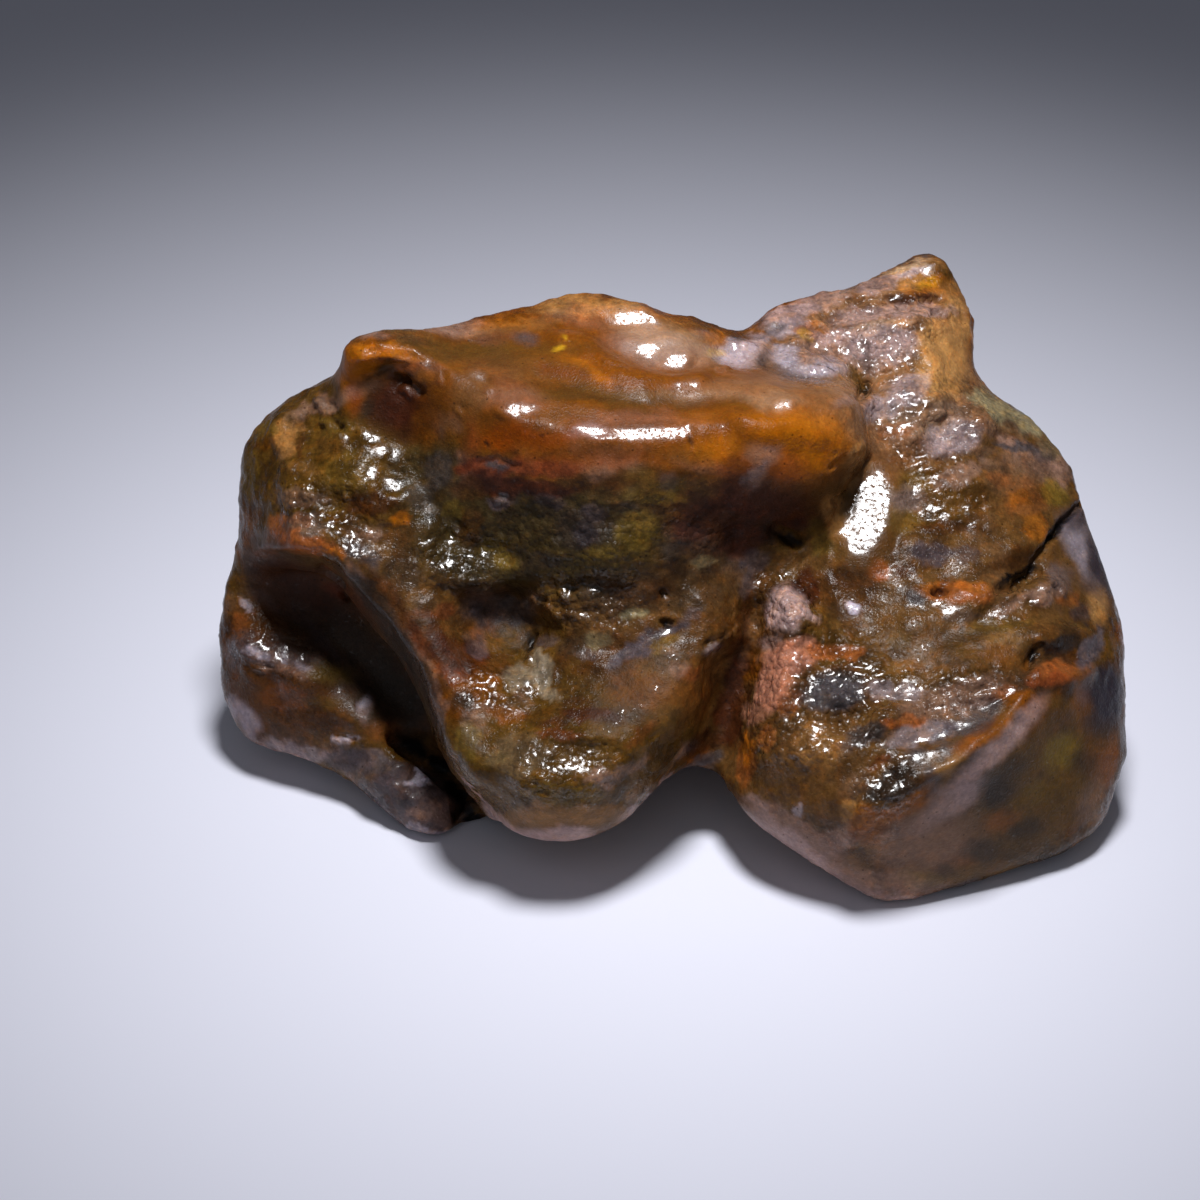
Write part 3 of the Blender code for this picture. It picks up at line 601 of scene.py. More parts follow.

# The colours of each part of the stone, laid over each other in this order. Pale patches among them
# paint highlights, sheen and the pale floor reflected in lower rims, and dark ones paint shade in
# pits, crevices and hollows.
COLOUR_PATCHES: tuple[Patches, ...] = (
    # grounds
    Tint.OLIVE.over((330, 460, 120, 90), (560, 770, 130, 90)),
    Tint.BARK.over((420, 620, 60, 60, 0.8), (700, 620, 80, 60, 0.7)),
    Tint.UMBER.over((280, 670, 100, 80, 0.9)),
    Tint.BARK.over((960, 560, 160, 120, 0.9), (810, 760, 100, 80, 0.8)),
    Tint.MOSS.over((540, 540, 140, 60), (430, 480, 40, 50, 0.9)),
    Tint.AMBER.over((600, 400, 190, 72, 1, 4), (745, 420, 120, 62), (590, 325, 110, 40)),
    Tint.FAWN.over((900, 390, 110, 80, 0.9), (860, 330, 110, 50, 0.9, -15)),
    Tint.ROSE.over(
        (860, 335, 60, 30, 0.5, -15), (930, 425, 40, 26, 0.4, -15), (950, 700, 58, 18, 0.45, -20),
    ),
    Tint.BARK.over((950, 640, 95, 36)),
    Tint.OLIVE.over(
        (990, 640, 50, 14, 0.5, -10), (930, 500, 50, 34, 0.5), (1040, 790, 110, 60, 1, -38),
    ),
    Tint.BARK.over((900, 850, 70, 34, 0.9, -20)),
    # nub and its hollow
    Tint.GOLD.over((352, 378, 14, 32), (388, 353, 42, 8, 0.8, 4)),
    Tint.SIENNA.over((398, 406, 40, 34, 1, 20)),
    Tint.HONEY.over((353, 398, 10, 17, 0.9), (372, 362, 18, 8, 0.7, -8)),
    Tint.AMBER.over((428, 420, 15, 24, 0.5), (446, 385, 12, 20, 0.6)),
    Tint.BRICK.over((406, 367, 13, 6, 0.8), (432, 360, 16, 5, 0.4, 25)),
    # Painted shade: the small cave under the nub's lip, the notch beside it and the dark side of
    # its hollow.
    Tint.SMOKE.over(
        (414, 373, 7, 3, 0.6, 20), (422, 381, 4, 6, 0.8, -20), (366, 408, 8, 9, 0.6, 30),
        (388, 372, 14, 2.5, 0.3), (379, 386, 7, 3, 0.3),
    ),
    Tint.GOLD.over((362, 368, 16, 12, 0.9, -20), (392, 357, 30, 6, 0.7, 4), (424, 376, 10, 8, 0.4)),
    # brow
    Tint.SAND.over(
        (590, 305, 62, 12, 0.9), (650, 328, 46, 18, 0.5, 15), (520, 325, 60, 8, 0.3, -8),
    ),
    Tint.GOLD.over(
        (590, 312, 26, 12, 0.35), (600, 375, 50, 5, 0.5, 25), (500, 322, 34, 6, 0.3, -8),
    ),
    Tint.OLIVE.over(
        (600, 397, 76, 12, 0.8, 4), (520, 352, 64, 13, 0.6, -5), (455, 352, 54, 11, 0.6),
    ),
    Tint.BARK.over((540, 372, 46, 12, 0.5), (655, 398, 60, 10, 0.5), (470, 400, 20, 30, 0.5, 10)),
    Tint.OLIVE.over((560, 416, 40, 8, 0.3), (742, 405, 30, 10, 0.4), (690, 455, 30, 8, 0.4)),
    Tint.UMBER.over((560, 388, 40, 5, 0.4, 8), (660, 410, 50, 7, 0.3), (620, 384, 12, 4, 0.6, 20)),
    Tint.HONEY.over((520, 438, 54, 14, 0.9), (600, 458, 70, 10, 0.5), (560, 372, 24, 5, 0.4, 10)),
    # Painted highlight: the pale streak on the brow's right end, with a faint painted sheen on its
    # top.
    Tint.STRAW.over((776, 402, 28, 9, 0.25), (700, 396, 60, 8, 0.1)),
    Tint.GOLD.over((716, 450, 28, 16, 0.6), (800, 440, 56, 34, 0.7, 10), (690, 418, 26, 10, 0.25)),
    Tint.RUST.over(
        (482, 468, 32, 12, 0.9), (545, 467, 46, 9, 0.8, 3), (786, 466, 26, 18, 0.5),
        (470, 455, 13, 34, 0.4), (742, 470, 26, 12, 0.4), (505, 382, 18, 6, 0.3, 10),
    ),
    Tint.PLUM.over(
        (520, 487, 66, 11, 0.9, 3), (770, 502, 60, 26, 0.9, 15), (720, 528, 56, 34, 0.8),
    ),
    Tint.UMBER.over((650, 474, 60, 8, 0.6), (590, 482, 30, 9, 0.6), (470, 492, 16, 12, 0.6)),
    Tint.FERN.over((655, 492, 34, 12, 0.6), (640, 475, 20, 7, 0.3)),
    Tint.SLATE.over((525, 337, 14, 6, 0.7), (497, 465, 12, 5, 0.9), (668, 483, 10, 12, 0.5)),
    # Painted glints of yellow on the brow's top.
    Tint.LEMON.over((561, 348, 6, 3, 0.9, -10), (566, 334, 2.5, 5, 0.6)),
    Tint.ROSE.over((762, 454, 18, 12, 0.5), (757, 474, 7, 20, 0.5, 28)),
    Tint.MIST.over((755, 474, 5, 18, 0.6, 35), (772, 446, 12, 6, 0.4)),
    # Painted sheen and highlights: faint pale veils of reflected light on the brow, and small pale
    # patches where the brow, shoulder, slope and the hollow by the tongue catch the light.
    Tint.PEARL.over(
        (650, 345, 42, 20, 0.18, 10), (590, 432, 24, 8, 0.2), (304, 526, 24, 14, 0.1),
        (905, 500, 20, 16, 0.15), (712, 646, 15, 8, 0.25, -25),
    ),
    # Painted sheen: faint pale veils of reflected light over the brow's top, its right end and its
    # left end.
    Tint.STRAW.over(
        (668, 346, 54, 22, 0.22, 5), (740, 388, 60, 12, 0.12), (490, 385, 40, 26, 0.04),
    ),
    # Painted sheen: faint pale veils of reflected light over the brow.
    Tint.PEARL.over((600, 315, 60, 14, 0.06), (515, 400, 34, 14, 0.06), (640, 420, 60, 10, 0.06)),
    Tint.UMBER.over(
        (600, 452, 60, 7, 0.5), (520, 424, 50, 6, 0.4, 4), (680, 402, 50, 6, 0.4),
        (640, 424, 50, 4, 0.4), (590, 400, 40, 5, 0.5, 4), (500, 360, 30, 5, 0.4, -10),
    ),
    Tint.INK.over(
        (692, 437, 2.5, 8, 0.7), (564, 452, 2.5, 3, 0.9), (487, 441, 3, 2.5, 0.9),
        (538, 433, 2.5, 2, 0.9), (479, 456, 3, 2, 0.9), (520, 456, 6, 1.5, 0.5, 8),
    ),
    # left shoulder
    Tint.SAND.over((282, 440, 14, 22, 0.8), (292, 424, 10, 7, 0.6), (300, 470, 24, 5, 0.2)),
    Tint.UMBER.over((300, 446, 6, 16, 0.8), (256, 512, 12, 14, 0.5), (330, 440, 16, 20, 0.3)),
    Tint.SLATE.over((254, 507, 5, 8, 0.3), (436, 470, 14, 22, 0.5), (420, 500, 20, 14, 0.3)),
    Tint.SIENNA.over((368, 503, 30, 13, 0.7), (345, 520, 20, 8, 0.4)),
    Tint.BRICK.over(
        (295, 541, 36, 12, 0.9, 8), (280, 522, 13, 14, 0.6, 20), (268, 552, 20, 8, 0.8, -10),
        (326, 552, 20, 6, 0.6, 10), (300, 520, 14, 6, 0.3),
    ),
    Tint.GOLD.over((400, 522, 9, 9, 0.7), (340, 555, 10, 5, 0.4, 10), (262, 440, 8, 10, 0.2)),
    Tint.FERN.over(
        (455, 509, 12, 9, 0.5), (345, 470, 30, 22, 0.3), (262, 430, 20, 12, 0.4),
        (250, 470, 8, 30, 0.4), (335, 425, 20, 12, 0.3),
    ),
    Tint.ROSE.over((330, 402, 44, 8, 0.5, -22), (300, 498, 30, 8, 0.3), (352, 572, 12, 9, 0.6, 40)),
    # channel and left lobe
    # Dark stone in the channel, painted darker still for the shade that fills it.
    Tint.SMOKE.over((340, 640, 150, 42, 0.85, 48), (395, 690, 50, 30, 1, 50)),
    Tint.PLUM.over(
        (300, 585, 60, 26, 0.6, 28), (395, 615, 17, 60, 0.6, -38), (352, 600, 40, 12, 0.5, 40),
    ),
    Tint.LILAC.over((266, 598, 26, 7, 0.4, 35), (320, 640, 50, 7, 0.3, 48)),
    Tint.RUST.over(
        (430, 655, 7, 40, 0.4, -35), (338, 588, 14, 8, 0.6, 50), (330, 570, 14, 5, 0.4, 20),
    ),
    Tint.ROSE.over(
        (412, 645, 5, 50, 0.3, -38), (436, 705, 6, 36, 0.4, -14), (282, 662, 30, 16, 0.5, 10),
    ),
    # Lilac-grey crust on the left lobe's top, partly painted highlight where it sparkles.
    Tint.MIST.over((264, 650, 34, 16, 0.4, 10), (236, 655, 9, 16, 0.4), (300, 663, 20, 8, 0.4)),
    Tint.BRICK.over((284, 698, 24, 13, 0.55), (240, 625, 12, 12, 0.3), (385, 733, 24, 12, 0.3)),
    Tint.FERN.over((330, 672, 26, 9, 0.4, 10), (320, 700, 20, 8, 0.3)),
    Tint.UMBER.over(
        (310, 722, 46, 10, 0.8, 10), (296, 695, 40, 18, 0.5), (245, 675, 10, 16, 0.4),
        (330, 690, 20, 6, 0.4),
    ),
    # Painted reflection: the pale rims along the left lobe's underside stand for the pale floor
    # reflected there.
    Tint.PEARL.over(
        (243, 716, 26, 9, 0.6, 55), (300, 750, 46, 8, 0.3, 12), (365, 758, 36, 7, 0.2, 5),
    ),
    # Painted highlights: two small pale spots by the lower end of the channel.
    Tint.BLUSH.over((367, 712, 8, 13, 0.35, 10), (345, 740, 14, 5, 0.4)),
    Tint.LILAC.over((412, 798, 62, 34, 0.9, 8), (350, 762, 30, 12, 0.7)),
    Tint.SLATE.over((384, 765, 20, 9, 0.7), (404, 802, 10, 7, 0.9), (372, 790, 14, 10, 0.5, 30)),
    Tint.ROSE.over((445, 808, 18, 14, 0.5), (418, 815, 16, 7, 0.4)),
    # Painted highlights and sheen: a pale cross on the toe, its pale lower rim, and small pale
    # spots where the left lobe and the channel's rim catch the light.
    Tint.PEARL.over(
        (416, 779, 17, 4, 0.9), (421, 771, 4, 9, 0.8, -20), (430, 832, 46, 6, 0.5, 2),
        (258, 650, 12, 5, 0.6, 20), (284, 656, 5, 13, 0.5, 10), (304, 664, 9, 4, 0.4, 20),
        (246, 604, 8, 4, 0.5, 40), (364, 704, 6, 10, 0.5, 30), (346, 738, 12, 3, 0.6, -10),
    ),
    # Painted shade along the deep side of the channel.
    Tint.SMOKE.over(
        (370, 598, 11, 46, 0.8, -42), (408, 655, 11, 50, 0.85, -33), (436, 715, 8, 36, 0.6, -22),
    ),
    # Painted shade in the dark gap between the toe and the tongue, and at its upper end.
    Tint.INK.over(
        (416, 745, 17, 9, 1, 35), (440, 766, 17, 10, 1, 42), (460, 794, 9, 18, 1, -28),
        (469, 820, 8, 16, 1, -10), (405, 735, 14, 6, 0.7, 20),
    ),
    # middle
    Tint.FERN.over(
        (640, 530, 22, 22, 0.6), (602, 550, 24, 10, 0.4), (510, 562, 16, 11, 0.7),
        (500, 545, 24, 7, 0.5), (660, 640, 20, 10, 0.4, -20), (560, 595, 20, 7, 0.3),
    ),
    Tint.SMOKE.over(
        (585, 528, 34, 20, 0.8), (555, 512, 20, 10, 0.5), (700, 556, 40, 22, 0.7),
        (540, 562, 26, 12, 0.6), (610, 590, 30, 10, 0.6), (470, 590, 26, 12, 0.5),
    ),
    Tint.LILAC.over((502, 502, 16, 8, 0.8), (548, 502, 18, 9, 0.5), (595, 512, 16, 8, 0.5)),
    Tint.SLATE.over((505, 612, 40, 18, 0.7, 5), (480, 640, 14, 22, 0.4, 20)),
    Tint.NAVY.over((590, 530, 14, 12, 0.5), (470, 605, 14, 10, 0.4)),
    Tint.PLUM.over((740, 540, 24, 22, 0.6), (700, 505, 24, 14, 0.5)),
    Tint.MIST.over((757, 558, 14, 14, 0.5), (748, 585, 8, 18, 0.4, 20)),
    Tint.SIENNA.over((458, 655, 32, 22, 0.8, 20), (440, 640, 10, 26, 0.8, -36)),
    Tint.OLIVE.over((505, 648, 22, 26, 0.7), (560, 590, 40, 16, 0.4), (690, 600, 40, 16, 0.2)),
    Tint.SMOKE.over(
        (640, 590, 90, 24, 0.5), (580, 646, 30, 12, 0.6), (688, 648, 18, 10, 0.5),
        (400, 576, 22, 16, 0.6), (708, 600, 18, 14, 0.4), (610, 700, 60, 26, 0.3),
    ),
    Tint.UMBER.over(
        (1088, 640, 20, 10, 0.5, 10), (640, 590, 40, 12, 0.5), (450, 620, 30, 16, 0.5),
        (470, 530, 16, 22, 0.5, 20),
    ),
    Tint.RUST.over((435, 612, 24, 7, 0.4), (450, 676, 20, 7, 0.3)),
    Tint.ASH.over((634, 614, 13, 7, 0.9), (600, 640, 16, 8, 0.4), (705, 560, 14, 7, 0.3)),
    # Painted sheen: the thin curved lilac line of reflected light across the middle.
    Tint.LILAC.over(
        (632, 652, 32, 7, 1, -40), (668, 630, 24, 6, 0.9, -12), (690, 617, 12, 5, 0.6, -30),
    ),
    Tint.MIST.over((478, 646, 12, 10, 0.35), (545, 640, 10, 8, 0.4), (590, 652, 16, 6, 0.3)),
    # Painted shade in small pits and in the dark hole under the brow's right end.
    Tint.INK.over(
        (529, 644, 3, 10, 0.8, 25), (664, 594, 4, 2.5, 0.9), (666, 624, 6, 3, 0.9),
        (788, 538, 13, 6, 0.85, 32), (768, 530, 10, 6, 0.4, 20),
    ),
    # tongue
    Tint.UMBER.over((494, 664, 14, 12, 0.7), (545, 718, 24, 8, 0.4)),
    Tint.CREAM.over((541, 672, 11, 28, 1, -12), (518, 676, 18, 12, 0.8), (552, 694, 11, 7, 0.9)),
    Tint.FERN.over((470, 745, 10, 20, 0.7), (490, 760, 20, 9, 0.3), (560, 795, 50, 10, 0.4)),
    Tint.AMBER.over((505, 712, 24, 9, 0.7), (650, 692, 44, 22, 0.4), (700, 690, 22, 36, 0.4)),
    Tint.PLUM.over((592, 715, 34, 8, 0.8, 5), (555, 724, 20, 6, 0.6), (575, 700, 16, 5, 0.4)),
    Tint.RUST.over((560, 736, 22, 5, 0.5), (640, 735, 20, 6, 0.3, -30), (690, 672, 14, 10, 0.4)),
    Tint.ROSE.over((602, 778, 16, 11, 0.6), (630, 768, 20, 7, 0.4, -30), (680, 665, 12, 8, 0.4)),
    # Painted shade down the valley between the tongue and the right lobe.
    Tint.SIENNA.over(
        (732, 700, 15, 52, 0.9, 8), (705, 742, 26, 12, 0.7, -20), (740, 650, 14, 20, 0.5),
    ),
    Tint.SLATE.over((702, 762, 22, 7, 0.8, -20), (690, 745, 12, 6, 0.3)),
    # Painted reflection of the pale floor along the tongue's lower rim.
    Tint.SAND.over((570, 815, 80, 11, 0.5), (640, 790, 20, 8, 0.2, -40)),
    Tint.CREAM.over((520, 755, 34, 22, 0.3)),
    # Painted reflection of the pale floor along the tongue's lower rim and its flanks.
    Tint.BLUSH.over(
        (560, 835, 84, 8, 0.75), (502, 820, 30, 6, 0.7, 33), (640, 808, 26, 7, 0.6, -42),
        (672, 780, 20, 6, 0.5, -45), (472, 788, 24, 4, 0.7, 54),
    ),
    # behind the brow, horn and right slope
    # Pale pearly grain behind the brow, partly painted sheen where its highlights fall; the same
    # goes for the pearl row below.
    Tint.PEARL.over((735, 355, 26, 15, 0.7), (790, 328, 26, 12, 0.5)),
    Tint.SLATE.over((806, 370, 38, 13, 0.7, 5), (775, 325, 16, 9, 0.5), (790, 350, 16, 8, 0.4)),
    Tint.PEARL.over((815, 368, 26, 7, 0.4, 5), (760, 340, 14, 8, 0.4)),
    Tint.GOLD.over(
        (812, 330, 16, 9, 0.6), (712, 336, 14, 10, 0.5), (925, 287, 28, 10, 0.7, -12),
        (945, 370, 20, 24, 0.4), (900, 322, 20, 6, 0.3, -10),
    ),
    Tint.LEMON.over((808, 334, 6, 8, 0.5), (716, 352, 9, 5, 0.5), (930, 284, 16, 5, 0.4, -12)),
    Tint.SAND.over((905, 276, 42, 14, 0.9, -18), (950, 300, 12, 26, 0.5)),
    # Painted highlight along the horn's tip, in the first row.
    Tint.STRAW.over((905, 268, 30, 4, 0.5, -18), (880, 325, 40, 6, 0.3, -10)),
    # Painted shade: thin dark lines under the horn's tip and its ledges.
    Tint.SIENNA.over(
        (915, 299, 34, 4, 0.8), (858, 345, 14, 4, 0.5, -10), (884, 280, 14, 4, 0.4, -30),
    ),
    Tint.CLAY.over((940, 362, 28, 44, 0.9), (960, 330, 12, 40, 0.6)),
    # Faint pale sheen, and a painted highlight along the horn's tip.
    Tint.PEARL.over((826, 368, 26, 9, 0.2, 5), (912, 272, 22, 4, 0.5, -18)),
    Tint.CREAM.over((925, 418, 50, 24, 0.3), (1015, 418, 34, 14, 0.4, 26)),
    Tint.BLUSH.over(
        (870, 312, 44, 8, 0.5, -10), (930, 312, 34, 6, 0.5), (850, 400, 20, 8, 0.3, -20),
    ),
    Tint.INK.over((765, 364, 5, 8, 0.8), (865, 391, 8, 5, 1, -30), (902, 392, 5, 4, 0.6)),
    Tint.BLUSH.over(
        (790, 312, 28, 9, 0.7, -10), (880, 286, 26, 8, 0.6, -20), (834, 334, 22, 9, 0.6),
        (820, 300, 40, 12, 0.4, -18), (850, 350, 60, 26, 0.25, -10), (750, 352, 30, 16, 0.3),
    ),
    # Pale pinkish-white grain on the horn and the slope, partly painted highlight and sheen where
    # its sparkles cluster.
    Tint.PEARL.over(
        (784, 356, 14, 10, 0.6), (908, 388, 26, 16, 0.35, -20), (952, 440, 34, 18, 0.4, -20),
        (885, 345, 40, 20, 0.25, -10), (880, 410, 20, 14, 0.4, -20), (812, 368, 34, 12, 0.25, 5),
    ),
    Tint.OLIVE.over((858, 380, 8, 16, 0.8, -20), (955, 385, 26, 9, 0.4), (870, 360, 16, 6, 0.4)),
    Tint.ASH.over(
        (1008, 412, 46, 10, 0.9, 26), (985, 395, 14, 14, 0.6, 40), (1050, 445, 14, 12, 0.4, 40),
    ),
    Tint.SLATE.over((1020, 447, 24, 7, 0.9, 10), (1044, 457, 10, 7, 0.6), (985, 452, 20, 6, 0.3)),
    Tint.ROSE.over(
        (1060, 462, 9, 14, 0.5, -20), (960, 475, 30, 10, 0.5, -20), (985, 425, 26, 8, 0.3, 20),
    ),
    Tint.BRICK.over(
        (1026, 500, 28, 20, 0.3, -20), (1000, 480, 16, 8, 0.3), (900, 430, 24, 8, 0.3, -20),
    ),
    Tint.GOLD.over((1036, 528, 12, 16, 0.4, -30), (1020, 498, 12, 8, 0.3)),
    Tint.FERN.over((1054, 492, 16, 13, 0.8), (900, 520, 20, 14, 0.3), (915, 480, 20, 12, 0.3)),
    Tint.UMBER.over(
        (950, 528, 36, 9, 0.9), (905, 455, 40, 10, 0.4, -30), (1010, 560, 30, 9, 0.7, -15),
    ),
    Tint.LILAC.over((930, 552, 30, 11, 0.9), (965, 556, 16, 8, 0.5)),
    Tint.MIST.over((1085, 550, 18, 50, 0.8, -22), (1060, 575, 12, 12, 0.5)),
    Tint.PEARL.over((1077, 546, 12, 30, 0.35, -22)),
    Tint.INK.over((1058, 530, 30, 5, 1, -52), (1020, 573, 24, 6, 1, -28), (1003, 585, 9, 5, 0.8)),
    Tint.NAVY.over(
        (1102, 570, 8, 34, 0.8, -18), (1074, 522, 8, 14, 0.6, 30), (1080, 610, 14, 10, 0.6),
    ),
    Tint.BRICK.over((955, 592, 38, 14, 0.7), (880, 573, 11, 9, 0.9), (1070, 596, 14, 6, 0.4, -20)),
    Tint.GOLD.over((970, 585, 20, 7, 0.2), (935, 584, 10, 6, 0.3)),
    Tint.SIENNA.over((938, 592, 9, 6)),
    Tint.SLATE.over((911, 600, 12, 10, 0.8), (960, 616, 24, 6, 0.4)),
    Tint.UMBER.over((850, 590, 34, 30, 0.8), (880, 545, 26, 26, 0.5), (850, 622, 12, 14, 0.6)),
    Tint.FERN.over(
        (818, 535, 14, 22, 0.5, -20), (1000, 625, 40, 7, 0.3, -10), (900, 640, 14, 8, 0.2),
    ),
    Tint.ROSE.over(
        (1050, 592, 24, 8, 0.6, -20), (1010, 606, 30, 5, 0.4, -22), (1000, 606, 14, 5, 0.2),
    ),
    Tint.CLAY.over((1098, 610, 10, 22, 0.5, 10), (1005, 640, 26, 10, 0.2)),
    Tint.SIENNA.over((808, 586, 15, 20, 0.9), (905, 570, 14, 9, 0.6)),
    # Painted light: pale tints lift the brow's right end and the edge of the window, which face
    # away from the key lamp.
    Tint.CLAY.over((858, 456, 14, 14, 0.7), (852, 480, 12, 12, 0.5), (834, 506, 13, 18, 0.6)),
    # Painted light: the window's highlight carried to its left edge, and a lightened spot in the
    # shaded groove by the tongue.
    Tint.SAND.over((838, 528, 12, 14, 0.6), (712, 666, 15, 22, 0.5)),
    # right lobe
    Tint.CLAY.over((856, 814, 16, 16, 0.45, -30), (952, 764, 20, 8, 0.4, -30)),
    Tint.BLUSH.over((785, 606, 24, 26, 0.8), (806, 616, 14, 8, 0.6, 10), (768, 640, 10, 12, 0.4)),
    Tint.SIENNA.over((745, 615, 8, 24, 0.6, 10), (790, 636, 24, 4, 0.6, 5)),
    Tint.CORAL.over(
        (790, 655, 34, 18, 0.9, -10), (772, 685, 22, 26, 0.9, 10), (752, 712, 14, 12, 0.5),
    ),
    Tint.BRICK.over((830, 653, 34, 9, 0.8), (790, 702, 14, 14, 0.5), (902, 725, 26, 7, 0.7, -8)),
    Tint.SLATE.over((833, 691, 37, 20, 1, -8), (862, 738, 24, 10, 0.7, -15)),
    Tint.SMOKE.over(
        (852, 676, 20, 6, 0.7, 10), (830, 700, 20, 6, 0.3), (866, 735, 18, 7, 0.7, -15),
        (893, 785, 30, 14, 0.9, -35), (915, 760, 16, 5, 0.4, -30),
    ),
    # Pale grains on the right lobe, partly painted highlights where its ridge catches the light.
    Tint.PEARL.over(
        (851, 609, 8, 6), (800, 812, 8, 8, 0.4), (880, 690, 10, 14, 0.3),
        (920, 735, 40, 10, 0.3, -14), (904, 694, 22, 9, 0.3),
    ),
    Tint.SAND.over((815, 745, 36, 24, 0.35), (900, 668, 20, 6, 0.2)),
    Tint.BRICK.over((745, 756, 12, 28, 0.6), (765, 735, 12, 14, 0.4)),
    Tint.GOLD.over(
        (866, 820, 16, 18, 0.4, -40), (746, 748, 9, 20, 0.6), (985, 737, 36, 8, 0.5, -38),
        (905, 805, 30, 8, 0.5, -38),
    ),
    Tint.AMBER.over(
        (868, 825, 24, 20, 0.6, -30), (980, 735, 36, 9, 0.6, -38), (1000, 655, 20, 12, 0.4),
    ),
    Tint.SMOKE.over((1064, 646, 26, 10, 0.85, -4), (1014, 725, 5, 14, 0.4, 10)),
    Tint.BRICK.over(
        (1056, 674, 28, 11, 0.8, -4), (1000, 690, 20, 7, 0.3, -30), (1096, 765, 14, 20, 0.2),
    ),
    Tint.RUST.over((1050, 680, 22, 6, 0.6), (880, 760, 20, 5, 0.3, -20)),
    Tint.INK.over((1031, 657, 3.5, 11, 0.95, 22)),
    Tint.MIST.over((1092, 650, 10, 26, 0.9, 25), (1085, 690, 8, 20, 0.5, 20)),
    Tint.NAVY.over((1107, 698, 21, 34), (1090, 725, 12, 14, 0.5)),
    # Painted sheen: the lilac band along the ridge and the pinkish sheen over the lower facet stand
    # for the pale floor reflected there.
    Tint.BLUSH.over((1000, 750, 66, 12, 0.75, -51), (950, 800, 44, 16, 0.5, -40)),
    Tint.ROSE.over(
        (925, 845, 60, 30, 0.4, -12), (905, 820, 30, 12, 0.3, -30), (1098, 800, 26, 16, 0.3, -50),
    ),
    Tint.FERN.over(
        (1060, 752, 22, 15, 1, -30), (1040, 790, 26, 10, 0.3, -30), (920, 878, 24, 7, 0.5),
    ),
    Tint.SMOKE.over(
        (995, 792, 20, 16, 0.9, -40), (1022, 830, 24, 12, 0.7, -20), (980, 850, 18, 12, 0.7),
        (1014, 768, 16, 9, 0.6, -40), (1085, 762, 16, 14, 0.6), (945, 870, 12, 8, 0.4),
    ),
    Tint.BRICK.over(
        (1000, 820, 20, 9, 0.35, -30), (1110, 760, 10, 26, 0.4, 10), (960, 860, 16, 6, 0.2),
    ),
    # Painted reflection of the pale floor along the right lobe's lower rim.
    Tint.ROSE.over((800, 838, 76, 16, 0.6, 34), (890, 885, 60, 14, 0.5, 5)),
    Tint.BLUSH.over(
        (795, 848, 72, 9, 0.6, 34), (890, 896, 60, 7, 0.4, 5), (760, 808, 20, 6, 0.3, 48),
    ),
)

# The grounds that lie all round the stone: a tint, the width of its clouds in millimetres, the
# noise at which it starts to show, and the shift of its clouds.
GROUNDS: tuple[tuple[Tint, float, float, float], ...] = (
    (Tint.OLIVE, 6.0, 0.0, 31.0),
    (Tint.AMBER, 5.0, 0.15, 33.0),
    (Tint.UMBER, 4.0, 0.15, 35.0),
    (Tint.ROSE, 4.0, 0.3, 37.0),
    (Tint.SMOKE, 3.5, 0.3, 39.0),
    (Tint.SLATE, 3.0, 0.38, 41.0),
)


# ---------------------------------------------------------------------------------------------
# The noise of the skin
# ---------------------------------------------------------------------------------------------


def ease(low: float, high: float, values: np.ndarray) -> np.ndarray:
    """Rises smoothly from 0 at low to 1 at high.

    Args:
        low: Where the rise starts.
        high: Where the rise ends.
        values: The values to read.

    Returns:
        One number from 0 to 1 for each value.
    """
    share = np.clip((values - low) / (high - low), 0.0, 1.0)
    return share * share * (3.0 - 2.0 * share)


def clouds(points_mm: np.ndarray, size_mm: float, octaves: int, start: float) -> np.ndarray:
    """Reads soft noise at each point.

    Args:
        points_mm: One row for each point.
        size_mm: The width of one cloud.
        octaves: How many finer layers are added.
        start: A shift that makes each use its own pattern.

    Returns:
        One number for each point, mostly from -1 to 1.
    """
    roughness, finer = 0.9, 2.0
    places = points_mm / size_mm + start
    return np.array([noise.fractal(Vector(place), roughness, finer, octaves) for place in places])


def pebbles(points_mm: np.ndarray, size_mm: float, wanted: np.ndarray) -> np.ndarray:
    """Reads packed round grains at each point.

    Args:
        points_mm: One row for each point.
        size_mm: The width of one grain.
        wanted: True for each point that is read. The others get 0.

    Returns:
        One number for each point, from about 1 on top of a grain to below 0 between two.
    """
    foot = 0.62
    height = np.zeros(len(points_mm))
    places = points_mm[wanted] / size_mm
    away = np.array([noise.voronoi(Vector(place))[0][0] for place in places])
    height[wanted] = 1.0 - (away / foot) ** 2
    return height


@dataclass(frozen=True)
class Relief:
    """One layer of soft noise, with its full height."""

    size_mm: float
    octaves: int
    start: float
    height: float

    def at(self, points_mm: np.ndarray) -> np.ndarray:
        """Reads the layer: one number for each point."""
        return clouds(points_mm, self.size_mm, self.octaves, self.start) * self.height


SOFT_SWELL = Relief(1.1, 3, 5.0, 0.07)
SOFT_LUMPS = Relief(0.75, 3, 40.0, 0.10)
CRUST = Relief(0.6, 3, 60.0, 0.06)
RIPPLES = Relief(0.42, 2, 80.0, 0.06)
FINE_GRAIN = Relief(0.45, 2, 100.0, 0.018)
GRIT = Relief(0.3, 1, 120.0, 0.008)
BEAD_VARIETY = Relief(0.7, 1, 130.0, 0.6)
RAGGED_EDGE = Relief(0.35, 2, 29.0, 0.4)
HIDDEN_GRAIN = Relief(5.0, 2, 21.0, 1.0)


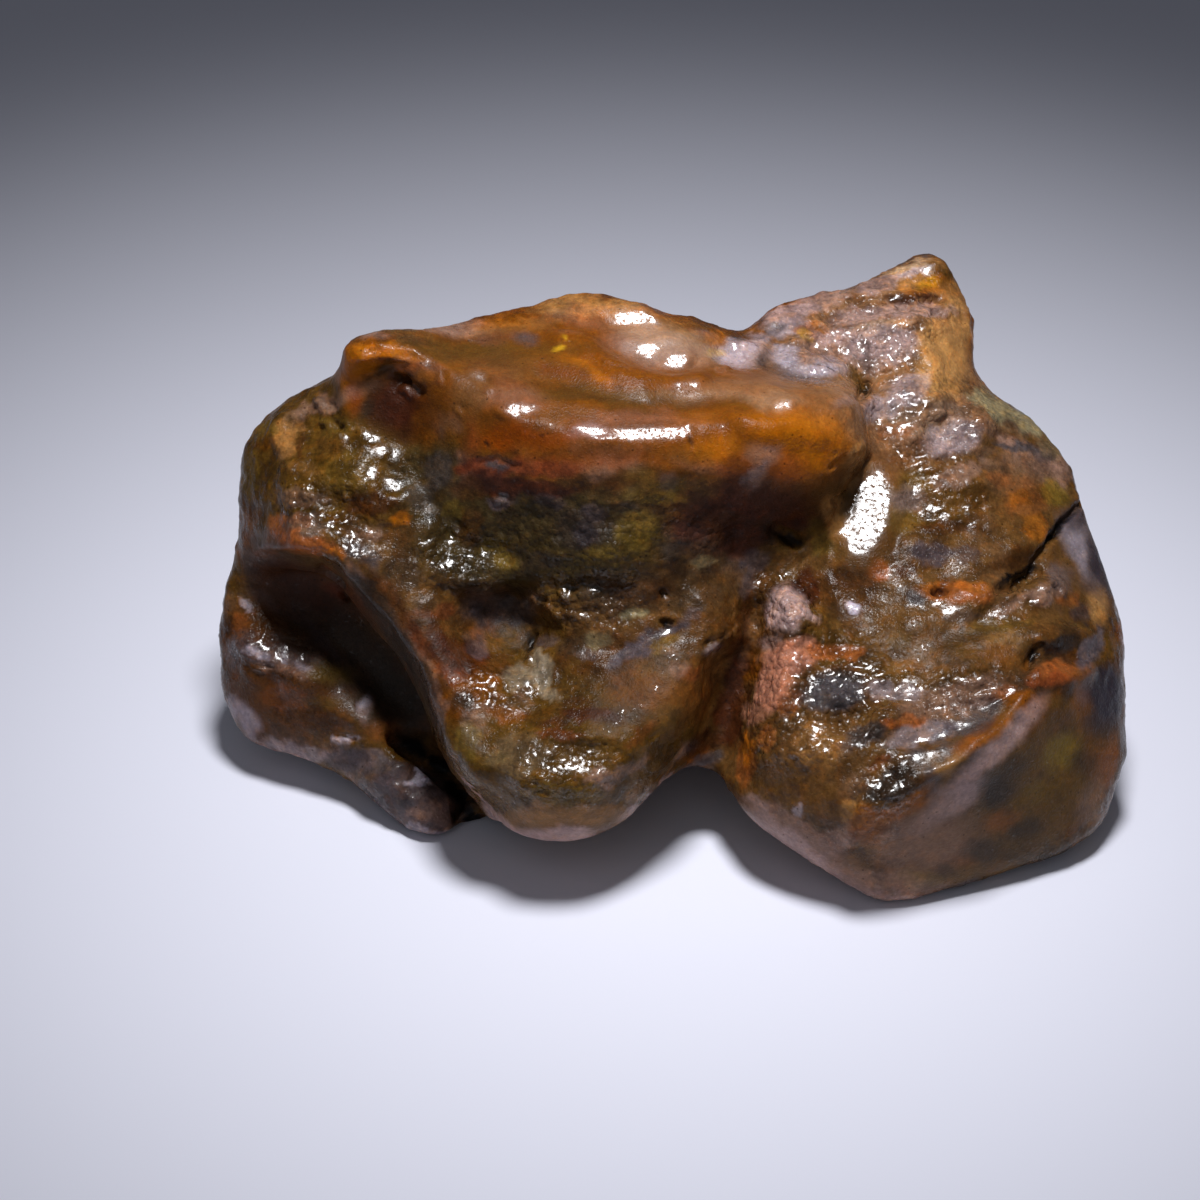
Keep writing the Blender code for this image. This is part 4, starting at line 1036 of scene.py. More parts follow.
@dataclass(frozen=True)
class Drift:
    """Soft noise that shifts spots, so that the edges of what is read there wander."""

    size_mm: float
    octaves: int
    starts: tuple[float, float]
    reach: float

    def at(self, points_mm: np.ndarray) -> np.ndarray:
        """Reads the drift: one shift for each point."""
        shifts = [clouds(points_mm, self.size_mm, self.octaves, start) for start in self.starts]
        return np.stack(shifts, axis=1) * self.reach


ZONE_DRIFT = Drift(1.6, 2, (3.1, 9.7), 9.0)
STROKE_DRIFT = Drift(0.9, 2, (13.0, 17.0), 3.0)
FLAT_DRIFT = Drift(0.5, 2, (23.0, 27.0), 2.5)
GLOSS_DRIFT = Drift(0.5, 2, (23.0, 27.0), 3.0)
FLAT_STRAY = Drift(1.3, 2, (63.0, 67.0), 0.35)
COLOUR_DRIFT = Drift(1.5, 3, (51.0, 53.0), 7.0)
COLOUR_FRAY = Drift(0.45, 2, (57.0, 59.0), 1.0)


@dataclass(frozen=True)
class Measure:
    """A value that follows the kinds of skin: its base, and what each kind adds to it."""

    base: float
    parts: tuple[tuple[Skin, float], ...]

    def at(self, zones: dict[Skin, np.ndarray]) -> np.ndarray:
        """Reads the value.

        Args:
            zones: How much of each kind of skin each point has.

        Returns:
            One number for each point.
        """
        value = self.base
        for kind, amount in self.parts:
            value = value + amount * zones[kind]
        return value


BARE = Measure(1.0, ((Skin.SMOOTH, -0.8),))
BEAD_MM = Measure(0.014, ((Skin.GRAINY, 0.042), (Skin.SMOOTH, -0.009)))
LONG_BEADS = Measure(0.0, ((Skin.RIPPLED, 1.5),))
MOTTLE = Measure(0.75, ((Skin.SMOOTH, -0.45), (Skin.LUMPY, 0.1)))
MATT = Measure(0.25, ((Skin.GRAINY, -0.1), (Skin.SMOOTH, 0.35)))
GLOSS = Measure(0.08, ((Skin.GRAINY, 0.62), (Skin.DULL, -0.3)))
BEADED = Measure(0.1, ((Skin.GRAINY, 1.7), (Skin.LUMPY, 0.15), (Skin.SMOOTH, -0.1)))
PATCH_CORE = Measure(0.7, ((Skin.SMOOTH, -0.35),))
PATCH_RIM = Measure(1.15, ((Skin.SMOOTH, 0.3),))
FRAY_SHARE = Measure(4.0, ((Skin.SMOOTH, -3.0),))


# ---------------------------------------------------------------------------------------------
# The stone
# ---------------------------------------------------------------------------------------------


class Surface:
    """The stone's mesh while it is worked, with what the viewpoint sees of it."""

    seen_gap_mm: float = 0.15
    line_depth: float = 1.5
    least_line_depth_mm: float = 1.0
    oval_depth: float = 2.2
    least_oval_depth_mm: float = 1.8
    out_of_sight: float = 1e6

    def __init__(self, piece: bpy.types.Object, view: Viewpoint) -> None:
        """Reads a piece.

        Args:
            piece: The mesh object.
            view: Where it is looked at from.
        """
        self.piece = piece
        self.view = view
        self.tree = BVHTree.FromObject(piece, bpy.context.evaluated_depsgraph_get())
        self.read()
        self.seen = self.find_seen()

    def read(self) -> None:
        """Reads the points, their normals and their spots."""
        mesh = self.piece.data
        flat = np.empty(len(mesh.vertices) * 3, np.float32)
        mesh.vertices.foreach_get("co", flat)
        self.points = flat.reshape(-1, 3).astype(float) / MM
        mesh.vertex_normals.foreach_get("vector", flat)
        self.normals = flat.reshape(-1, 3).astype(float)
        self.spots = self.view.spots_of(self.points)

    def write(self) -> None:
        """Puts the points back in the mesh, kept inside the solid's box, and reads them again."""
        low, high = (np.array(corner) / MM for corner in CAD_BOX)
        kept = np.clip(self.points, low, high)
        self.piece.data.vertices.foreach_set("co", (kept * MM).astype(np.float32).ravel())
        self.piece.data.update()
        bpy.context.view_layer.update()
        self.read()

    def raise_by(self, height_mm: np.ndarray) -> None:
        """Moves each point along its normal, and writes the points."""
        self.points = self.points + self.normals * height_mm[:, None]
        self.write()

    def find_seen(self) -> np.ndarray:
        """Finds which points show from the viewpoint.

        Returns:
            True for each point that shows.
        """
        eye = self.view.eye_mm
        away = self.points - eye
        reach = np.linalg.norm(away, axis=1)
        facing = np.einsum("ij,ij->i", self.normals, away) < 0
        seen = np.zeros(len(reach), bool)
        start = Vector(eye) * MM
        for index in np.nonzero(facing)[0]:
            length = self.tree.ray_cast(start, Vector(away[index]))[3]
            seen[index] = length is not None and length / MM > reach[index] - self.seen_gap_mm
        return seen

    def place_of(self, spot: Spot) -> np.ndarray:
        """Finds the place on the stone that shows at a spot.

        Args:
            spot: The spot in the frame.

        Returns:
            The place in millimetres: the nearest one that shows, where the spot is off the stone.
        """
        hit = self.tree.ray_cast(Vector(self.view.eye_mm) * MM, Vector(self.view.ray_through(spot)))
        if hit[0] is not None:
            return np.array(hit[0]) / MM
        gap = np.linalg.norm(self.spots - spot, axis=1)
        return self.points[np.argmin(gap + np.where(self.seen, 0.0, self.out_of_sight))]

    def line_share(self, stroke: Stroke, spots: np.ndarray) -> np.ndarray:
        """Measures points against a stroke's line.

        Args:
            stroke: The stroke.
            spots: The spots of the points, which may be shifted to roughen its edge.

        Returns:
            For each point 0 on the line, 1 on the stroke's edge and more outside it. A point that
            lies well in front of the line or behind it is outside.
        """
        nearest = np.full(len(spots), np.inf)
        depth = self.points @ self.view.out
        ends = [self.place_of(spot) @ self.view.out for spot in stroke.line]
        gap = np.zeros(len(spots))
        for first, (start, end) in enumerate(zip(stroke.line, stroke.line[1:])):
            run = np.subtract(end, start)
            share = np.clip((spots - start) @ run / (run @ run), 0.0, 1.0)
            away = np.linalg.norm(spots - (start + share[:, None] * run), axis=1)
            closer = away < nearest
            nearest = np.where(closer, away, nearest)
            level = ends[first] + share * (ends[first + 1] - ends[first])
            gap = np.where(closer, np.abs(depth - level), gap)
        reach_mm = self.line_depth * stroke.width / self.view.spots_per_mm
        reach_mm = max(self.least_line_depth_mm, reach_mm)
        return nearest / stroke.width + ease(1.0, 2.0, gap / reach_mm)

    def oval_share(self, oval: Oval, spots: np.ndarray) -> np.ndarray:
        """Measures points against an oval on the stone's face.

        Args:
            oval: The oval.
            spots: The spots of the points, which may be shifted to roughen its edge.

        Returns:
            For each point 0 at the oval's middle, 1 on its edge and more outside it.
        """
        middle, turn = (oval.right, oval.down), math.radians(oval.turn)
        right, down = (spots - middle).T
        along = (right * math.cos(turn) + down * math.sin(turn)) / oval.half_wide
        beside = (down * math.cos(turn) - right * math.sin(turn)) / oval.half_high
        reach_mm = self.oval_depth * max(oval.half_wide, oval.half_high) / self.view.spots_per_mm
        reach_mm = max(self.least_oval_depth_mm, reach_mm)
        behind = (self.points - self.place_of(middle)) @ self.view.out / reach_mm
        return np.sqrt(along**2 + beside**2 + behind**2)


@dataclass
class Stone:
    """The agate itself: its fine skin, built from the solid, carved, polished and coloured."""

    view: Viewpoint
    lamp: Lamp
    name: str = "raw_agate"
    merge_mm: float = 0.002
    skin_step_mm: float = 0.28
    smoothing: float = 0.5
    settle_steps: int = 6
    broad_steps: int = 6
    fine_steps: int = 1
    easing: float = 0.9
    ease_steps: int = 140
    least_eased: float = 0.01
    fill_core: float = 0.3
    pocket_mm: float = 3.5
    feet_mm: tuple[float, float] = (0.02, 0.35)
    zone_edge: tuple[float, float] = (0.7, 1.2)
    flat_reach: float = 1.12
    flat_edge: tuple[float, float] = (0.65, 1.3)
    press_mm: float = 0.7
    press_per_spot_mm: float = 0.02
    least_weight: float = 1e-6
    gloss_edge: tuple[float, float] = (0.4, 1.6)
    line_gloss: float = 0.8
    hidden_gloss: float = 0.5
    most_gloss: float = 0.78
    pit_floor: float = 0.35
    hidden_lumps: float = 0.7
    hidden_grain: tuple[float, float] = (-0.1, 0.5)
    round_bead_mm: float = 0.42
    long_bead_mm: float = 0.34
    streak_rise: float = math.radians(18.0)
    streak_along: float = 0.42
    streak_beside: float = 1.15
    ground_octaves: int = 4
    ground_edge: float = 0.3
    ground_strength: float = 0.8
    most_triangles: int = 195_000

    def build(self) -> bpy.types.Object:
        """Makes the stone.

        Returns:
            The finished piece.
        """
        piece = self.copy_solid()
        self.refine(piece)
        surface = Surface(piece, self.view)
        self.carve(surface, BROAD_STROKES, self.broad_steps)
        self.turn_to_light(surface, LEANING, surface.spots)
        self.roughen(surface)
        self.carve(surface, STROKES, self.fine_steps)
        self.turn_to_light(surface, ALL_FLATS, surface.spots + FLAT_DRIFT.at(surface.points))
        self.frost(surface)
        self.thin_out(piece)
        self.colour(Surface(piece, self.view))
        self.dress(piece)
        return piece

    def copy_solid(self) -> bpy.types.Object:
        """Copies the solid's mesh and joins its loose triangles.

        Returns:
            The new piece.
        """
        piece = bpy.data.objects.new(self.name, frame["nodes"]["agate"].data.copy())
        bpy.context.scene.collection.objects.link(piece)
        self.pick(piece)
        bpy.ops.object.mode_set(mode="EDIT")
        bpy.ops.mesh.select_all(action="SELECT")
        bpy.ops.mesh.remove_doubles(threshold=self.merge_mm * MM)
        bpy.ops.mesh.normals_make_consistent(inside=False)
        bpy.ops.object.mode_set(mode="OBJECT")
        return piece

    def pick(self, piece: bpy.types.Object) -> None:
        """Selects one piece alone and makes it the active one.

        Args:
            piece: The mesh object.
        """
        bpy.ops.object.select_all(action="DESELECT")
        piece.select_set(True)
        bpy.context.view_layer.objects.active = piece

    def add_modifier(self, piece: bpy.types.Object, kind: str, **settings: object) -> None:
        """Adds a modifier and applies it.

        Args:
            piece: The mesh object.
            kind: The modifier, as Blender names it.
            settings: The modifier's own settings.
        """
        modifier = piece.modifiers.new(kind.lower(), kind)
        for name, value in settings.items():
            setattr(modifier, name, value)
        bpy.ops.object.modifier_apply(modifier=modifier.name)

    def smooth(self, piece: bpy.types.Object, steps: int) -> None:
        """Smooths the whole piece, as many times as steps says."""
        self.add_modifier(piece, "SMOOTH", factor=self.smoothing, iterations=steps)

    def refine(self, piece: bpy.types.Object) -> None:
        """Turns the coarse copy into a fine, smooth skin.

        Args:
            piece: The stone.
        """
        self.add_modifier(piece, "SUBSURF", levels=1, render_levels=1)
        self.add_modifier(piece, "REMESH", mode="VOXEL", voxel_size=self.skin_step_mm * MM)
        self.smooth(piece, self.settle_steps)
        self.fill_hollows(Surface(piece, self.view))
        self.ease_places(Surface(piece, self.view))
        self.split_face(piece)
        self.smooth(piece, self.settle_steps)
        log.info("skin of %d points", len(piece.data.vertices))

    def split_face(self, piece: bpy.types.Object) -> None:
        """Splits each facet of the stone's face in four, because its detail is the finest.

        Args:
            piece: The stone.
        """
        seen = Surface(piece, self.view).seen
        mesh = piece.data
        chosen = [bool(seen[list(face.vertices)].all()) for face in mesh.polygons]
        for parts in (mesh.vertices, mesh.edges):
            parts.foreach_set("select", np.zeros(len(parts), bool))
        mesh.polygons.foreach_set("select", chosen)
        bpy.ops.object.mode_set(mode="EDIT")
        bpy.ops.mesh.select_mode(type="FACE")
        bpy.ops.mesh.select_more()
        bpy.ops.mesh.subdivide(number_cuts=1)
        bpy.ops.mesh.select_mode(type="VERT")
        bpy.ops.object.mode_set(mode="OBJECT")

    def fill_hollows(self, surface: Surface) -> None:
        """Fills the places of the table FILLED, with the pockets behind them.

        Args:
            surface: The stone's surface.
        """
        out = self.view.out
        for oval in FILLED:
            share = 1.0 - ease(0.0, 1.0, surface.oval_share(oval, surface.spots))
            depth = surface.points @ out
            core = (share > self.fill_core) & surface.seen
            filled = depth > np.median(depth[core]) - self.pocket_mm
            surface.points += out * (share * filled * oval.strength)[:, None]
        surface.write()

    def ease_places(self, surface: Surface) -> None:
        """Smooths the places of the table EASED.

        Args:
            surface: The stone's surface.
        """
        piece = surface.piece
        weights = self.zone(surface, EASED, surface.spots)
        group = piece.vertex_groups.new(name="eased")
        for index in np.flatnonzero(weights > self.least_eased):
            group.add([int(index)], float(weights[index]), "REPLACE")
        steps = {"factor": self.easing, "iterations": self.ease_steps}
        self.add_modifier(piece, "SMOOTH", vertex_group=group.name, **steps)
        piece.vertex_groups.clear()

    def above_feet(self, surface: Surface) -> np.ndarray:
        """Keeps the feet as they are: 0 on the floor, 1 a little above it."""
        return ease(*self.feet_mm, surface.points[:, 2])

    def zone(self, surface: Surface, places: tuple[Oval, ...], spots: np.ndarray) -> np.ndarray:
        """Joins the ovals of one kind.

        Args:
            surface: The stone's surface.
            places: The ovals.
            spots: The spots of the points.

        Returns:
            For each point, how far it is in the zone, from 0 to 1.
        """
        share = np.zeros(len(spots))
        for oval in places:
            inside = 1.0 - ease(*self.zone_edge, surface.oval_share(oval, spots))
            share = np.maximum(share, inside * oval.strength)
        return share

    def zones_of(self, surface: Surface) -> dict[Skin, np.ndarray]:
        """Finds how much of each kind of skin each point has.

        Args:
            surface: The stone's surface.

        Returns:
            One share for each point, for each kind of skin.
        """
        spots = surface.spots + ZONE_DRIFT.at(surface.points)
        zones = {kind: self.zone(surface, places, spots) for kind, places in SKIN_ZONES.items()}
        natural = ease(*self.hidden_grain, HIDDEN_GRAIN.at(surface.points))
        for kind, least in ((Skin.LUMPY, self.hidden_lumps), (Skin.GRAINY, natural)):
            share = zones[kind]
            zones[kind] = np.where(surface.seen, share, np.maximum(share, least))
        return zones

    def roughen(self, surface: Surface) -> None:
        """Raises the lumps, crust and ripples of the skin.

        Args:
            surface: The stone's surface.
        """
        points = surface.points
        zones = self.zones_of(surface)
        lumps = SOFT_LUMPS.at(points) * zones[Skin.LUMPY]
        crust = CRUST.at(points) * zones[Skin.GRAINY]
        ripples = RIPPLES.at(self.streaked(points)) * zones[Skin.RIPPLED]
        height = SOFT_SWELL.at(points) + lumps + crust + ripples + FINE_GRAIN.at(points)
        surface.raise_by(height * BARE.at(zones) * self.above_feet(surface))

    def frost(self, surface: Surface) -> None:
        """Gives the skin its finest grain, shallow beads that break up its highlights.

        Args:
            surface: The stone's surface.
        """
        points = surface.points
        zones = self.zones_of(surface)
        beads = pebbles(points, self.round_bead_mm, surface.seen)
        long_beads = pebbles(self.streaked(points), self.long_bead_mm, surface.seen)
        beads = beads + (long_beads - beads) * np.minimum(1.0, LONG_BEADS.at(zones))
        height = beads * BEAD_MM.at(zones) * (1.0 + BEAD_VARIETY.at(points)) + GRIT.at(points)
        surface.raise_by(height * self.above_feet(surface))

    def streaked(self, points_mm: np.ndarray) -> np.ndarray:
        """Squeezes places so that noise read there makes streaks that rise to the right.

        Args:
            points_mm: One row for each point.

        Returns:
            The squeezed places.
        """
        right = points_mm @ self.view.across
        up = points_mm @ self.view.up
        along = right * math.cos(self.streak_rise) + up * math.sin(self.streak_rise)
        beside = up * math.cos(self.streak_rise) - right * math.sin(self.streak_rise)
        squeezed = (along * self.streak_along, beside * self.streak_beside)
        return np.stack((*squeezed, points_mm @ self.view.out), axis=1)

    def carve(self, surface: Surface, table: dict[str, tuple[Stroke, ...]], steps: int) -> None:
        """Carves named lines.

        Args:
            surface: The stone's surface.
            table: The strokes of each part of the stone.
            steps: How many times the cuts are smoothed afterwards.
        """
        spots = surface.spots + STROKE_DRIFT.at(surface.points)
        height = np.zeros(len(spots))
        for stroke in sum(table.values(), ()):
            share = surface.line_share(stroke, spots)
            floor = self.pit_floor if stroke.form is Form.PIT else 0.0
            size_mm = stroke.height_mm if stroke.form is Form.ROLL else -stroke.height_mm
            height += (1.0 - ease(floor, 1.0, share)) * size_mm
        surface.raise_by(height * (surface.seen * self.above_feet(surface)))
        self.smooth(surface.piece, steps)
        surface.read()

    def turn_to_light(
        self, surface: Surface, places: tuple[Oval, ...], spots: np.ndarray
    ) -> None:
        """Presses places towards planes that face between the viewpoint and the key lamp.

        Args:
            surface: The stone's surface.
            places: The places, with how strongly each is pressed.
            spots: The spots of the points.
        """
        out = self.view.out
        for oval in places:
            share = surface.oval_share(oval, spots) / self.flat_reach
            near = (share < self.flat_edge[1]) & surface.seen
            if not near.any():
                continue
            here = surface.points[near]
            weight = (1.0 - ease(*self.flat_edge, share[near])) * oval.strength
            middle = np.average(here, axis=0, weights=weight + self.least_weight)
            to_lamp = np.array(self.lamp.place_mm) - middle
            to_eye = self.view.eye_mm - middle
            face = to_lamp / np.linalg.norm(to_lamp) + to_eye / np.linalg.norm(to_eye)
            face /= np.linalg.norm(face)
            gap = (middle - here) @ face / (out @ face)
            most = self.press_mm + self.press_per_spot_mm * oval.half_high
            surface.points[near] = here + out * (np.clip(gap, -most, most) * weight)[:, None]
        surface.write()

    def glossy_share(self, surface: Surface) -> np.ndarray:
        """Finds how far each point is on a glassy flat or a glossy line.

        Args:
            surface: The stone's surface.

        Returns:
            From 0 to 1 for each point. All of the side that doesn't show is glossy in part.
        """
        points = surface.points
        spots = surface.spots + GLOSS_DRIFT.at(points)
        stray = FLAT_STRAY.at(points)
        ragged = RAGGED_EDGE.at(points)
        share = np.where(surface.seen, 0.0, self.hidden_gloss)
        for oval in ALL_FLATS:
            strayed = spots + stray * min(oval.half_wide, oval.half_high)
            away = surface.oval_share(oval, strayed) + ragged
            share = np.maximum(share, 1.0 - ease(*self.gloss_edge, away))
        for stroke in GLOSSY_LINES:
            away = surface.line_share(stroke, spots) + ragged
            inside = self.line_gloss - self.line_gloss * ease(*self.gloss_edge, away)
            share = np.maximum(share, inside)
        return np.minimum(share, self.most_gloss)

    def thin_out(self, piece: bpy.types.Object) -> None:
        """Brings the mesh under its limit of triangles.

        Args:
            piece: The stone.
        """
        triangles = sum(len(face.vertices) - 2 for face in piece.data.polygons)
        if triangles > self.most_triangles:
            self.add_modifier(piece, "DECIMATE", ratio=self.most_triangles / triangles)
        log.info("triangles before %d, faces now %d", triangles, len(piece.data.polygons))

    def lay_tint(self, colour: np.ndarray, tint: Tint, share: np.ndarray) -> None:
        """Lays a tint over the points' colours, in the array itself.

        Args:
            colour: One colour for each point.
            tint: The tint.
            share: How much of it shows at each point.
        """
        colour += (np.array(tint.value) - colour) * share[:, None]

    def colour_of(self, surface: Surface, zones: dict[Skin, np.ndarray]) -> np.ndarray:
        """Colours the grounds all round the stone, then its patches.

        Args:
            surface: The stone's surface.
            zones: The kinds of skin.

        Returns:
            One colour for each point.
        """
        points = surface.points
        colour = np.tile(np.array(Tint.BARK.value), (len(points), 1))
        for tint, size_mm, low, start in GROUNDS:
            ground = clouds(points, size_mm, self.ground_octaves, start)
            share = ease(low, low + self.ground_edge, ground)
            self.lay_tint(colour, tint, share * self.ground_strength)
        fray = COLOUR_FRAY.at(points) * FRAY_SHARE.at(zones)[:, None]
        spots = surface.spots + COLOUR_DRIFT.at(points) + fray
        core, rim = PATCH_CORE.at(zones), PATCH_RIM.at(zones)
        for tint, places in COLOUR_PATCHES:
            for oval in places:
                inside = 1.0 - ease(core, rim, surface.oval_share(oval, spots))
                self.lay_tint(colour, tint, inside * oval.strength)
        return colour

    def colour(self, surface: Surface) -> None:
        """Stores the skin's tint, and where it is mottled, matt, glossy and beaded.

        Args:
            surface: The stone's surface.
        """
        zones = self.zones_of(surface)
        colour = self.colour_of(surface, zones)
        gloss = np.maximum(np.clip(GLOSS.at(zones), 0.0, 1.0), self.glossy_share(surface))
        marks = {
            "mottle": np.clip(MOTTLE.at(zones), 0.0, 1.0),
            "matt": np.clip(np.maximum(MATT.at(zones), zones[Skin.DULL]), 0.0, 1.0),
            "gloss": gloss,
            "beaded": BEADED.at(zones),
        }
        mesh = surface.piece.data
        tints = mesh.color_attributes.new("tint", "FLOAT_COLOR", "POINT")
        tints.data.foreach_set("color", np.column_stack((colour, np.ones(len(colour)))).ravel())
        for name, values in marks.items():
            attribute = mesh.attributes.new(name, "FLOAT", "POINT")
            attribute.data.foreach_set("value", values.astype(np.float32))

    def dress(self, piece: bpy.types.Object) -> None:
        """Gives the stone its finish and tells the frame what it is.

        Args:
            piece: The stone.
        """
        self.pick(piece)
        bpy.ops.object.shade_smooth()
        piece.data.materials.clear()
        piece.data.materials.append(AgateFinish().build())
        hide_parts("agate")
        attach(piece, "root")


# ---------------------------------------------------------------------------------------------
# The finish
# ---------------------------------------------------------------------------------------------


@dataclass(frozen=True)
class Ramp:
    """One stretch of numbers that is mapped on to another, with an end at each end."""

    low: float
    high: float
    start: float = 0.0
    end: float = 1.0


class GroupMaker:
    """Builds one shader node group, socket by socket."""

    noise_roughness: float = 0.6

    def __init__(self, name: str) -> None:
        """Starts an empty group.

        Args:
            name: The group's name.
        """
        self.tree = bpy.data.node_groups.new(name, "ShaderNodeTree")
        self.entry = self.tree.nodes.new("NodeGroupInput")
        self.exit = self.tree.nodes.new("NodeGroupOutput")

    def takes(self, name: str, kind: str = "Float") -> Socket:
        """Adds an input.

        Args:
            name: The input's name.
            kind: Float, Vector or Color.

        Returns:
            The socket that gives its value inside the group.
        """
        self.tree.interface.new_socket(name, in_out="INPUT", socket_type=f"NodeSocket{kind}")
        return self.entry.outputs[name]

    def gives(self, name: str, source: Socket, kind: str = "Float") -> None:
        """Adds an output.

        Args:
            name: The output's name.
            source: The socket inside the group that it passes on.
            kind: Float, Vector or Color.
        """
        self.tree.interface.new_socket(name, in_out="OUTPUT", socket_type=f"NodeSocket{kind}")
        self.tree.links.new(source, self.exit.inputs[name])

    def link(self, source: Socket | float, target: Socket) -> None:
        """Joins a socket to another, or gives it a fixed value.

        Args:
            source: A socket or a number.
            target: The socket that takes it.
        """
        if isinstance(source, (int, float)):
            target.default_value = source
        else:
            self.tree.links.new(source, target)

    def clouds(self, place: Socket, scale: Socket | float, detail: float) -> Socket:
        """Adds soft noise.

        Args:
            place: Where it is read.
            scale: How many clouds go in a metre.
            detail: How much finer noise is added.

        Returns:
            Its value, around 0.5.
        """
        node = self.tree.nodes.new("ShaderNodeTexNoise")
        self.link(place, node.inputs["Vector"])
        self.link(scale, node.inputs["Scale"])
        node.inputs["Detail"].default_value = detail
        node.inputs["Roughness"].default_value = self.noise_roughness
        return node.outputs["Fac"]

    def cells(self, place: Socket, scale: Socket | float) -> Socket:
        """Adds cells.

        Args:
            place: Where they are read.
            scale: How many go in a metre.

        Returns:
            The distance from the middle of the nearest cell, in cells.
        """
        node = self.tree.nodes.new("ShaderNodeTexVoronoi")
        self.link(place, node.inputs["Vector"])
        self.link(scale, node.inputs["Scale"])
        return node.outputs["Distance"]

    def spread(self, value: Socket, ramp: Ramp) -> Socket:
        """Maps a value along a ramp.

        Args:
            value: What is mapped.
            ramp: The ramp.

        Returns:
            The result, never outside the ramp's own ends.
        """
        node = self.tree.nodes.new("ShaderNodeMapRange")
        ends = (ramp.low, ramp.high, ramp.start, ramp.end)
        for name, number in zip(("From Min", "From Max", "To Min", "To Max"), ends):
            node.inputs[name].default_value = number
        self.link(value, node.inputs["Value"])
        return node.outputs["Result"]

    def sum_of(self, kind: str, first: Socket, second: Socket | float) -> Socket:
        """Adds one sum on two numbers.

        Args:
            kind: The sum, as Blender names it.
            first: The first number.
            second: The second number.

        Returns:
            The result.
        """
        node = self.tree.nodes.new("ShaderNodeMath")
        node.operation = kind
        self.link(first, node.inputs[0])
        self.link(second, node.inputs[1])
        return node.outputs[0]

    def times(self, first: Socket, second: Socket | float) -> Socket:
        """Multiplies two numbers."""
        return self.sum_of("MULTIPLY", first, second)

    def plus(self, first: Socket, second: Socket | float) -> Socket:
        """Adds two numbers."""
        return self.sum_of("ADD", first, second)

    def tinted(self, share: Socket, colour: Socket, tint: Socket | Colour) -> Socket:
        """Multiplies a colour by a tint.

        Args:
            share: How much the tint does, from 0 to 1.
            colour: The colour.
            tint: The tint, or a number that darkens or lightens.

        Returns:
            The tinted colour.
        """
        node = self.tree.nodes.new("ShaderNodeMix")
        node.data_type = "RGBA"
        node.blend_type = "MULTIPLY"
        shares = {socket.identifier: socket for socket in node.inputs}
        self.link(share, shares["Factor_Float"])
        self.link(colour, shares["A_Color"])
        if isinstance(tint, tuple):
            shares["B_Color"].default_value = (*tint, 1.0)
        else:
            self.link(tint, shares["B_Color"])
        return next(socket for socket in node.outputs if socket.identifier == "Result_Color")


# How the clouds, flecks and grains of the mineral body show.
DARK_CLOUDS, DARK_SHARE, DARK_TINT = Ramp(0.38, 0.56, 1.0, 0.0), 0.85, (0.30, 0.28, 0.30)
WARM_CLOUDS, WARM_SHARE, WARM_TINT = Ramp(0.50, 0.68), 0.6, (1.7, 1.35, 0.9)
FINE_SHARE, FINE_CLOUDS = Ramp(0.0, 1.0, 0.12, 0.55), Ramp(0.32, 0.68, 0.45, 1.6)
FLECKS, FLECK_SHARE, FLECK_TINT = Ramp(0.08, 0.17, 1.0, 0.0), 0.7, (0.20, 0.16, 0.14)
FLECKED_PARTS = Ramp(0.45, 0.55)
PALE_GRAINS, PALE_SHARE, PALE_TINT = Ramp(0.08, 0.20, 1.0, 0.0), 0.35, (2.6, 2.7, 2.8)
WARM_SCALE, FINE_SCALE, PALE_SCALE = 1.9, 5.0, 1.7

# How the film's roughness, grain and stipple show.
WORN_SCALE, BROKEN_SCALE, CLUMP_SCALE = 2200.0, 0.8, 0.22
BASE_ROUGHNESS, UNEVEN_ROUGHNESS = Ramp(0.0, 1.0, 0.11, 0.50), Ramp(0.35, 0.65, -0.03, 0.07)
STANDING_GRAIN, STANDING_SHARE = Ramp(0.48, 0.72), 0.5
ROUND_BEAD = Ramp(0.0, 0.45, 2.4, 0.0)
GLOSS_COVER, STIPPLE, CLUMPS = 0.26, Ramp(0.60, 0.76), Ramp(0.38, 0.58, 0.3, 1.0)


def mineral_group() -> bpy.types.NodeTree:
    """Makes the group that clouds and flecks the skin's tint, painted highlights and shade
    included.

    Returns:
        The node group.
    """
    group = GroupMaker("mineral_body")
    place = group.takes("Place", "Vector")
    colour = group.takes("Tint", "Color")
    mottle = group.takes("Mottle")
    mottle_scale = group.takes("Mottle Scale")
    fleck_scale = group.takes("Fleck Scale")

    broad = group.clouds(place, mottle_scale, 3.0)
    darker = group.times(group.spread(broad, DARK_CLOUDS), mottle)
    colour = group.tinted(group.times(darker, DARK_SHARE), colour, DARK_TINT)
    shifted = group.clouds(place, group.times(mottle_scale, WARM_SCALE), 2.0)
    warmer = group.times(group.spread(shifted, WARM_CLOUDS), mottle)
    colour = group.tinted(group.times(warmer, WARM_SHARE), colour, WARM_TINT)
    fine = group.clouds(place, group.times(mottle_scale, FINE_SCALE), 3.0)
    fine_share = group.spread(mottle, FINE_SHARE)
    colour = group.tinted(fine_share, colour, group.spread(fine, FINE_CLOUDS))
    flecks = group.spread(group.cells(place, fleck_scale), FLECKS)
    flecks = group.times(flecks, group.spread(broad, FLECKED_PARTS))
    colour = group.tinted(group.times(flecks, FLECK_SHARE), colour, FLECK_TINT)
    grains = group.cells(place, group.times(fleck_scale, PALE_SCALE))
    grains = group.times(group.spread(grains, PALE_GRAINS), mottle)
    colour = group.tinted(group.times(grains, PALE_SHARE), colour, PALE_TINT)
    group.gives("Colour", colour, "Color")
    return group.tree


